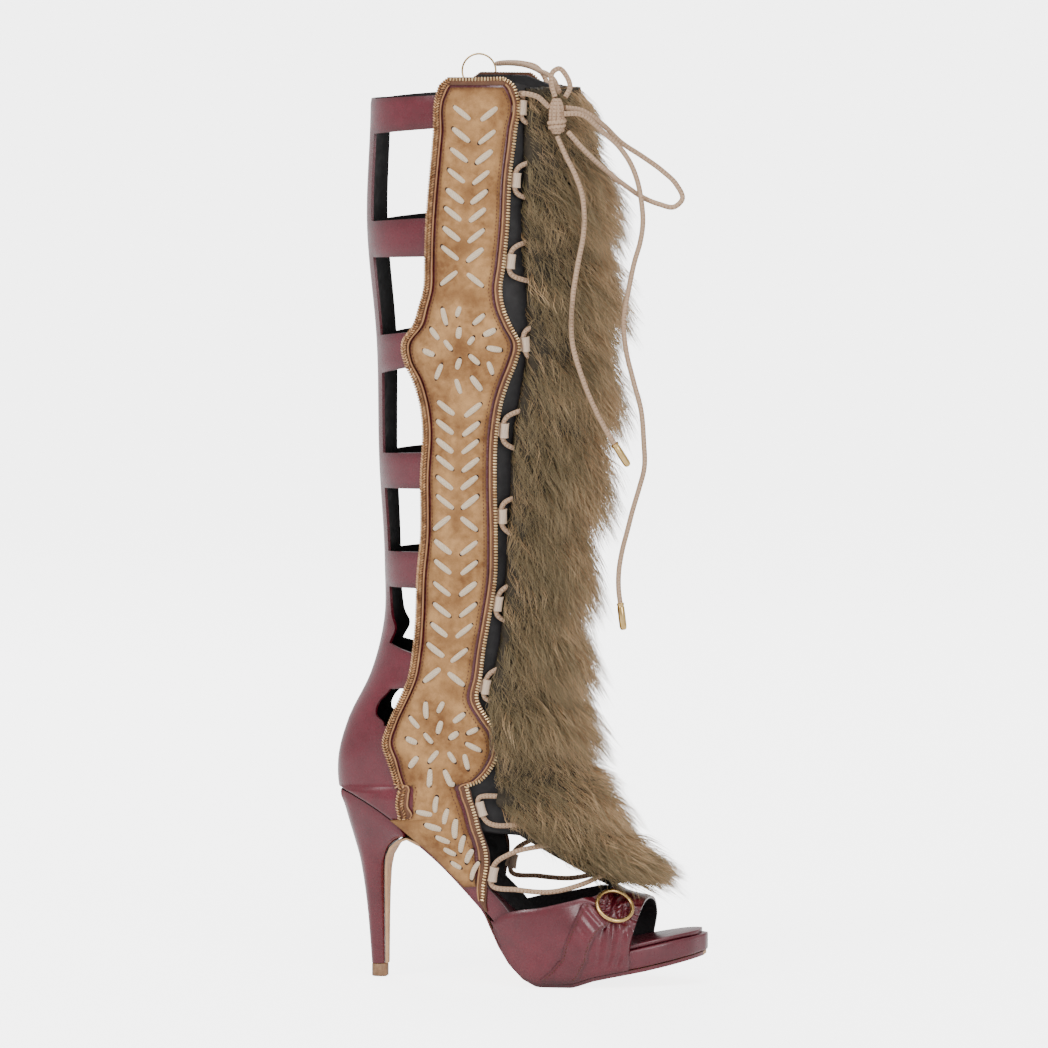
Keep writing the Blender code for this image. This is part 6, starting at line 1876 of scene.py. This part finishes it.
    def build(self) -> None:
        """Make and dress the lacing."""
        for side, word in ((-1, "lateral"), (1, "medial")):
            made = made_of(f"keepers_{word}", self.keepers(side), [KEEPER_TAPE.material()], 50.0)
            settle(made, tuple(f"keeper_{word}_{n:02d}" for n in range(1, len(KEEPER_RISES) + 1)))
        crossed = self.round_lace("crossed_lace", spaced(self.path(), 0.0014))
        settle(crossed, ("lace_crossings",))
        settle(made_of("knot_wraps", self.knot_shape(), [CORD.material()], 80.0), ("lace_knot",))
        for name, node, route in (("small_loop", "lace_small_loop", SMALL_LOOP),
                                  ("large_loop", "lace_large_loop", LARGE_LOOP)):
            path = spaced(np.array(route), 0.0012)
            middle = path.mean(0) + np.array([0.0, 0.02, 0.0])
            made = settle(self.round_lace(name, path, middle), (node,))
        for word, route in (("short", SHORT_END), ("long", LONG_END)):
            path = spaced(np.array(route), 0.0014)
            made = settle(self.round_lace(f"free_end_{word}", path), (f"lace_end_{word}",))
            tip = settle(self.tip(f"lace_tip_{word}", route), (f"aglet_{word}",))


@dataclass
class Fur:
    """Long fur over the tongue: locks of thin strands over a dark undercoat of painted shade."""

    length: float = 0.0300
    strands: int = 46000
    locks: int = 760
    parts: int = 5
    edge_length: float = 0.009
    root_depth: float = 0.002
    radii: tuple = (0.00016, 0.00030)
    taper: tuple = (1.0, 0.95, 0.8, 0.5)
    overhang: tuple = ((-0.40, -0.25, -0.10, 0.08, 0.20), (0.0, 0.05, 0.12, 0.10, 0.045))
    seed: int = 4
    order: tuple = (0.0, 0.22, 0.48, 0.75, 1.0)

    def edge(self, rise: np.ndarray) -> np.ndarray:
        """Half breadth of the fur from the front's middle, as a way around."""
        return 1 - read_smooth(rise, FUR_ROWS, "edge") + np.interp(rise, *self.overhang)

    def full(self, rise: np.ndarray, spread: np.ndarray) -> np.ndarray:
        """Height of the fur over the form: its length at a level times its rounded section.

        Args:
            rise: levels.
            spread: place across, from -1 to 1.

        Returns:
            Heights.
        """
        length = self.length * read_smooth(rise, FUR_ROWS, "length")
        section = np.sqrt(np.clip(1 - np.abs(spread) ** 2.5, 0, 1))
        return self.edge_length + (length - self.edge_length) * section

    def level_of(self, share: np.ndarray) -> np.ndarray:
        """Level at a share of the fur's length down the front."""
        leg = FORM.leg_height * FUR_ROWS[0].rise
        foot = -FORM.shoe_length * FUR_ROWS[-1].rise
        run = share * (leg + foot)
        return np.where(run < leg, (leg - run) / FORM.leg_height, (leg - run) / FORM.shoe_length)

    def undercoat(self) -> Geometry:
        """Dark body under the strands, of painted shade: a lumpy wall at 0.55 of the fur's height.

        Returns:
            The undercoat's geometry.
        """
        rise = self.level_of(np.linspace(0.004, 0.992, 150))
        spread = np.linspace(-1, 1, 25)
        around = front_way(spread * self.edge(rise)[:, None])
        level = np.repeat(rise[:, None], len(spread), 1)
        points, normals = FORM.point(level, around), FORM.normal(level, around)
        lumps = 0.50 + 0.10 * ripple(points * 420, 1.0) + 0.08 * ripple(points * 900, 5.0)
        tall = self.full(level, spread) * lumps
        keep = np.ones((len(rise) - 1, len(spread) - 1), bool)
        return wall(points, normals, keep, tall, -0.0021)

    def strands_of(self, rng: np.random.Generator, count: int) -> Geometry:
        """Strands: three-sided tapered spikes that gather towards the tip of their lock.

        A strand leaves along the normal and bends down the leg with the square of its share; its
        middle points move towards the lock's own curve, more at the tip, and wave a little.

        Args:
            rng: source of the spread.
            count: number of strands.

        Returns:
            Geometry with values tip and tone.
        """
        share = rng.uniform(0, 1, self.locks)
        spread = rng.uniform(-1, 1, self.locks)
        side_tone = np.interp(spread, (-0.7, -0.1, 1), (0.14, 0.62, 0.7))
        lock_tone = np.clip(rng.normal(0.0, 0.24, self.locks) + side_tone, 0, 1)
        lock_lean = rng.normal(0, 0.20, (self.locks, 2))
        lock_size = rng.uniform(0.78, 1.12, self.locks) + 0.16 * np.sin(2 * np.pi * 9.5 * share + 1.3)
        lock_curl = rng.uniform(0, 2 * np.pi, self.locks)
        pick = rng.integers(0, self.locks, count)
        own_share = np.clip(share[pick] + rng.normal(0, 0.0075, count), 0.0, 1.0)
        own_spread = np.clip(spread[pick] + rng.normal(0, 0.16, count), -1, 1)

        def curve(shares: np.ndarray, spreads: np.ndarray, lean: np.ndarray, size: np.ndarray) -> np.ndarray:
            rise = self.level_of(shares)
            way = front_way(spreads * self.edge(rise))
            root = FORM.lifted(rise, way, np.full(len(rise), -self.root_depth))
            out, down = FORM.normal(rise, way), FORM.down(rise, way)
            side = np.cross(out, down)
            tall = self.full(rise, spreads) + self.root_depth
            t = np.array(self.order)[None, :, None]
            size = (tall * size)[:, None, None]
            heading = unit(out + side * lean[:, :1] + down * (0.25 + lean[:, 1:]))[:, None]
            fall = down[:, None] * 0.75 + np.array([0.0, 0.0, -0.45])
            return root[:, None] + size * (heading * t * (1.46 - 0.30 * t) + fall * 0.62 * t**2)

        lean = lock_lean[pick] + rng.normal(0, 0.13, (count, 2))
        size = lock_size[pick] * rng.uniform(0.62, 1.10, count)
        path = curve(own_share, own_spread, lean, size)
        lock = curve(share[pick], spread[pick], lock_lean[pick], lock_size[pick])
        t = np.array(self.order)[None, :, None]
        pull = 0.90 * t**1.2 * rng.uniform(0.55, 1.0, count)[:, None, None]
        path = path * (1 - pull) + lock * pull
        wave = np.sin(lock_curl[pick][:, None] + 6.5 * t[..., 0] + rng.normal(0, 0.5, count)[:, None])
        curly = 0.0014 * (1.0 + 1.6 * (own_spread < -0.15))[:, None] * t[..., 0]
        path[..., 0] += wave * curly
        path[..., 1] += np.cos(1.7 * lock_curl[pick])[:, None] * wave * curly
        tangent = unit(np.gradient(path, axis=1))
        across = unit(np.cross(tangent, np.array([0.31, 0.22, 0.93])))
        other = np.cross(tangent, across)
        thick = rng.uniform(*self.radii, count)[:, None, None] * np.array(self.taper)[None, :, None]
        turn = np.arange(3) * 2 * np.pi / 3
        rings = (path[:, :4, None] + thick[..., None] * (np.cos(turn)[:, None] * across[:, :4, None]
                                                         + np.sin(turn)[:, None] * other[:, :4, None]))
        vertices = np.concatenate([rings.reshape(count, 12, 3), path[:, 4:5]], 1)
        i, j = (grid.ravel() for grid in np.meshgrid(np.arange(3), np.arange(3), indexing="ij"))
        k = (j + 1) % 3
        quads = np.stack([i * 3 + j, i * 3 + k, i * 3 + 3 + k, i * 3 + 3 + j], 1)
        j = np.arange(3)
        ends = np.concatenate([np.stack([9 + j, 9 + (j + 1) % 3, np.full(3, 12)], 1), [[2, 1, 0]]])
        start = np.arange(count)[:, None, None] * 13
        blocks = [(part[None] + start).reshape(-1, part.shape[1]) for part in (quads, ends)]
        tip = np.tile(np.concatenate([np.repeat(self.order[:4], 3), [1.0]]), (count, 1))
        tone = np.clip(lock_tone[pick] + rng.normal(0, 0.12, count), 0, 1)
        return Geometry(vertices.reshape(-1, 3), blocks, [0, 0], {"tip": tip, "tone": np.repeat(tone, 13)})

    def build(self) -> None:
        """Make the undercoat and the pieces of strands."""
        coat = made_of("fur_undercoat_shade", self.undercoat(), [UNDERCOAT_SHADE.material()], 80.0)
        settle(coat, ("fur",))
        rng = np.random.default_rng(self.seed)
        for number in range(self.parts):
            hair = self.strands_of(rng, self.strands // self.parts)
            settle(made_of(f"fur_locks_{number + 1}", hair, [PELT.material()], 180.0), ())


@dataclass
class Vamp:
    """Gathered open-toe band, its stitched strap and the ring."""

    wall: float = 0.0018
    strap_wall: float = 0.0014
    strap_width: float = 0.0150
    clear: float = 0.0004
    ease: float = 0.0026
    skirt: float = 0.76
    ring_ray: float = -0.40
    ring_along: float = 0.765
    ring_diameter: float = 0.0250
    ring_wire: float = 0.0026

    def surface(self, along: np.ndarray, ray: np.ndarray) -> np.ndarray:
        """Inner face of the band: an arch in powers of the ray's sine and cosine, with skirts.

        Args:
            along: shares of the length.
            ray: from the outer skirt (-1) to the inner one (1).

        Returns:
            Points, (..., 3).
        """
        along, ray = np.broadcast_arrays(np.asarray(along, float), np.asarray(ray, float))
        base = FORM.sole_top(along) + FORM.gap
        ease = FORM.gap + self.ease * read_smooth(along, ARCH_ROWS, "ease")
        top = FORM.seat_height * read_smooth(along, ARCH_ROWS, "height")
        hem = FORM.sole_bottom(along) + FORM.outsole_thickness + FORM.gap
        angle = np.clip(ray / self.skirt, -1, 1) * np.pi / 2
        reach = np.where(ray < 0, FORM.half_width(along, "lateral"), FORM.half_width(along, "medial")) + ease
        y = np.sign(ray) * reach * np.abs(np.sin(angle)) ** 0.9
        share = np.clip((np.abs(ray) - self.skirt) / (1 - self.skirt), 0, 1)
        z = np.where(share > 0, base + (hem - base) * share, base + top * np.abs(np.cos(angle)) ** 0.8)
        return np.stack([FORM.x_of(along), y, z], -1)

    def normal(self, along: np.ndarray, ray: np.ndarray) -> np.ndarray:
        """Outward unit normal: the cross product of the steps forward and across."""
        near, far = np.clip(ray - 6e-3, -1, 1), np.clip(ray + 6e-3, -1, 1)
        across = self.surface(along, far) - self.surface(along, near)
        forward = self.surface(along + 2e-3, ray) - self.surface(along - 2e-3, ray)
        return unit(np.cross(forward, across))

    def folds(self, along: np.ndarray, ray: np.ndarray) -> np.ndarray:
        """Height of the gathers: rays that fan out from the ring and fade, and upright folds.

        Args:
            along: shares of the length.
            ray: rays.

        Returns:
            Heights over the plain band.
        """
        x = (along - self.ring_along) * FORM.shoe_length
        s = (ray - self.ring_ray) * 0.078
        far, turn = np.hypot(x, s), np.arctan2(s, x)
        fan = np.sin(15 * turn + 1.5 * np.sin(3 * turn)) * np.exp(-((far - 0.012) / 0.010) ** 2) * 0.0011
        inside = np.sin(2 * np.pi * x / 0.0034 + 60 * s) * np.exp(-(far / 0.010) ** 4) * 0.0009
        upright = np.sin(2 * np.pi * x / 0.0062 + 2.5 * np.sin(90 * s)) * 0.0008
        upright = upright * np.clip((along - 0.70) / 0.07, 0, 1) * np.exp(-((ray + 0.72) / 0.20) ** 2)
        slow = 0.0005 * np.sin(38 * along + 5 * ray) * np.sin(9 * ray)
        return fan + inside + upright + slow

    def build(self) -> None:
        """Make and dress the band, the strap, its stitches and the ring."""
        rays = np.linspace(-1, 1, 150)
        share = np.linspace(0, 1, 70)
        back, front = read_smooth(rays, VAMP_ROWS, "back"), read_smooth(rays, VAMP_ROWS, "front")
        along = back[:, None] + (front - back)[:, None] * share
        ray = np.repeat(rays[:, None], len(share), 1)
        keep = np.ones((len(rays) - 1, len(share) - 1), bool)
        points, normals = self.surface(along, ray), self.normal(along, ray)
        high = self.wall - 0.0006 + self.folds(along, ray)
        band = wall(points, normals, keep, high, 0.0, 0.0007, 0.002, 1)
        made = made_of("gathered_vamp", band, [VAMP_CALF.material(), LINING.material()], 70.0)
        settle(made, ("vamp",))
        stations = np.array(STRAP_STATIONS)
        key = np.arange(len(stations))
        fine = through(key, stations, np.linspace(0, key[-1], 60))
        middle = self.surface(fine[:, 1], fine[:, 0])
        across = np.cross(self.normal(fine[:, 1], fine[:, 0]), unit(np.gradient(middle, axis=0)))
        half = self.strap_width / 2 * fine[:, 2] / FORM.shoe_length / np.clip(np.abs(across[:, 0]), 0.5, 1.0)
        spread = np.linspace(-1, 1, 19)
        along = fine[:, 1:2] + half[:, None] * spread
        ray = np.repeat(fine[:, :1], len(spread), 1)
        points, normals = self.surface(along, ray), self.normal(along, ray)
        base = self.wall + self.clear
        wave = np.sin(2 * np.pi * (ray * 0.078) / 0.0042 + 4 * spread)
        wrinkle = 0.00035 * wave * np.clip((ray + 0.80) / 0.3, 0, 1)
        high = base + self.strap_wall - 0.0005 + wrinkle
        shape = wall(points, normals, np.ones((59, 18), bool), high, base,
                     0.0006, 0.0016)
        strap = made_of("stitched_strap", shape, [VAMP_CALF.material()], 70.0)
        settle(strap, ("vamp_strap",))
        dots = []
        for side in (-0.80, 0.80):
            path = self.surface(fine[:, 1] + half * side, fine[:, 0])
            run = run_of(path)
            stops = np.arange(0.001, run[-1], 0.0022)
            a, r = np.interp(stops, run, fine[:, 1] + half * side), np.interp(stops, run, fine[:, 0])
            out = self.normal(a, r)
            centre = self.surface(a, r) + out * (base + self.strap_wall - 0.0001)
            tangent = unit(np.gradient(centre, axis=0))
            dots.append(scattered(bead(2, 6, 0.9), centre, tangent * 0.0008,
                                  np.cross(out, tangent) * 0.0003, out * 0.00035))
        settle(made_of("strap_stitches", joined(dots), [STITCH_BROWN.material()]), ())
        self.ring()

    def ring(self) -> None:
        """Make the ring: a round wire carried round a circle on the band."""
        along, ray = np.array(self.ring_along), np.array(self.ring_ray)
        out = self.normal(along, ray)
        lift = self.wall + self.clear + self.strap_wall + FORM.gap + self.ring_wire / 2
        centre = self.surface(along, ray) + out * lift
        first = unit(np.cross(out, (0.0, 0.0, 1.0)))
        made = hoop("gather_ring", centre, first, np.cross(out, first), self.ring_diameter, self.ring_wire)
        settle(made, ("vamp_ring",))


def hoop(name: str, centre: np.ndarray, first: np.ndarray, second: np.ndarray, diameter: float,
         wire: float) -> bpy.types.Object:
    """Ring of round wire in the plane of two directions.

    Args:
        name: name of the piece.
        centre: middle of the ring.
        first: one unit direction in its plane.
        second: the other one.
        diameter: size over the wire's outside.
        wire: thickness of the wire.

    Returns:
        The piece.
    """
    major, minor = (diameter - wire) / 2, wire / 2
    angle, turn = np.arange(72) * np.pi / 36, np.arange(18) * np.pi / 9
    out = np.cos(angle)[:, None] * first + np.sin(angle)[:, None] * second
    rings = (centre + out[:, None] * (major + minor * np.cos(turn))[None, :, None]
             + np.cross(first, second) * (minor * np.sin(turn))[None, :, None])
    return made_of(name, lofted(rings, caps=False), [GOLD.material()])


@dataclass
class Pull:
    """Slider of the inner side's zip and the ring that stands up from it."""

    around: float = 0.478
    rise: float = 0.9770
    height: float = 0.0046
    length: float = 0.0032
    diameter: float = 0.0225
    wire: float = 0.0012

    def build(self) -> None:
        """Dress the slider and make the ring."""
        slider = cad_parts["zip_slider"]
        for slot in slider.material_slots:
            slot.material = GOLD.material()
        reach = 0.0004 + 0.0024 + FORM.gap + 0.0003 + self.height / 2
        centre = FORM.point(self.rise, self.around) + np.array([0.0, reach, (self.diameter - self.wire) / 2])
        made = hoop("zip_ring", centre, np.array([1.0, 0, 0]), np.array([0, 0, 1.0]),
                    self.diameter, self.wire)
        settle(made, ("pull_ring",), "pull")


@dataclass
class Studio:
    """Pale floor, soft lights and the camera at the photograph's angle."""

    azimuth: float = 10.0
    distance: float = 5.5
    camera_height: float = 0.730
    aim: tuple = (0.0913, 0.0, 0.2840)
    metres_per_pixel: float = 0.00062
    image: int = 1048
    floor_size: float = 45.0

    def build(self) -> None:
        """Make floor, lights, world and camera."""
        scene = bpy.context.scene
        size = self.floor_size
        corners = np.array([[-size, -size, -0.0002], [size, -size, -0.0002],
                            [size, size, -0.0002], [-size, size, -0.0002]])
        pale = Plain("Studio floor", (0.90, 0.90, 0.90), (0.94, 0.94, 0.94), 0.7, 2.0).material()
        bench = Bench(pale.node_tree)
        shader = pale.node_tree.nodes["Principled BSDF"]
        seen = bench.add("ShaderNodeLightPath").outputs["Is Camera Ray"]
        pale.node_tree.links.new(bench.ranged(seen, 0.0, 1.0, 0.0, 4.0), shader.inputs["Emission Strength"])
        shader.inputs["Emission Color"].default_value = (1.0, 1.0, 1.0, 1.0)
        floor = piece("studio_floor", corners, [np.array([[0, 1, 2, 3]])], [pale])
        world = bpy.data.worlds.new("Studio")
        world.use_nodes = True
        back = world.node_tree.nodes["Background"]
        back.inputs["Color"].default_value = (1.0, 1.0, 1.0, 1.0)
        bench = Bench(world.node_tree)
        seen = bench.add("ShaderNodeLightPath").outputs["Is Camera Ray"]
        world.node_tree.links.new(bench.ranged(seen, 0.0, 1.0, 0.75, 6.0), back.inputs["Strength"])
        scene.world = world
        aim = Vector(self.aim)
        for name, place, width, power, kind in (
                ("key_light", (-1.6, -2.6, 2.6), 1.2, 55.0, "AREA"),
                ("front_box", (1.9, -2.2, 1.1), 0.9, 22.0, "AREA"),
                ("rim_light", (-1.2, 2.0, 1.8), 1.0, 30.0, "AREA"),
                ("top_sun", (0.4, -1.2, 3.0), 0.0, 0.9, "SUN")):
            light = bpy.data.lights.new(name, kind)
            light.energy = power
            if kind == "AREA":
                light.size = width
            else:
                light.angle = np.radians(35.0)
            made = bpy.data.objects.new(name, light)
            made.location = place
            made.rotation_euler = (aim - Vector(place)).to_track_quat("-Z", "Y").to_euler()
            scene.collection.objects.link(made)
        turn = np.radians(self.azimuth)
        place = Vector((self.aim[0] + self.distance * np.sin(turn), -self.distance * np.cos(turn),
                        self.camera_height))
        lens = bpy.data.cameras.new("photograph_view")
        lens.sensor_width = 36.0
        lens.lens = 36.0 * (aim - place).length / self.metres_per_pixel / self.image
        lens.clip_end = 200.0
        camera = bpy.data.objects.new("photograph_view", lens)
        camera.location = place
        camera.rotation_euler = (aim - place).to_track_quat("-Z", "Y").to_euler()
        scene.collection.objects.link(camera)
        scene.camera = camera


def main() -> None:
    """Build every sub-assembly in order."""
    logging.basicConfig(level=logging.INFO, format="%(name)s %(message)s")
    outline = Outline()
    Studio().build()
    Lacing(outline).build()
    Sole().build()
    Cage(outline).build()
    for side, word in ((-1, "lateral"), (1, "medial")):
        SidePanel(outline, side, word).build()
    Tongue(outline).build()
    Fur().build()
    Vamp().build()
    Pull().build()


if __name__ == "__main__":
    main()
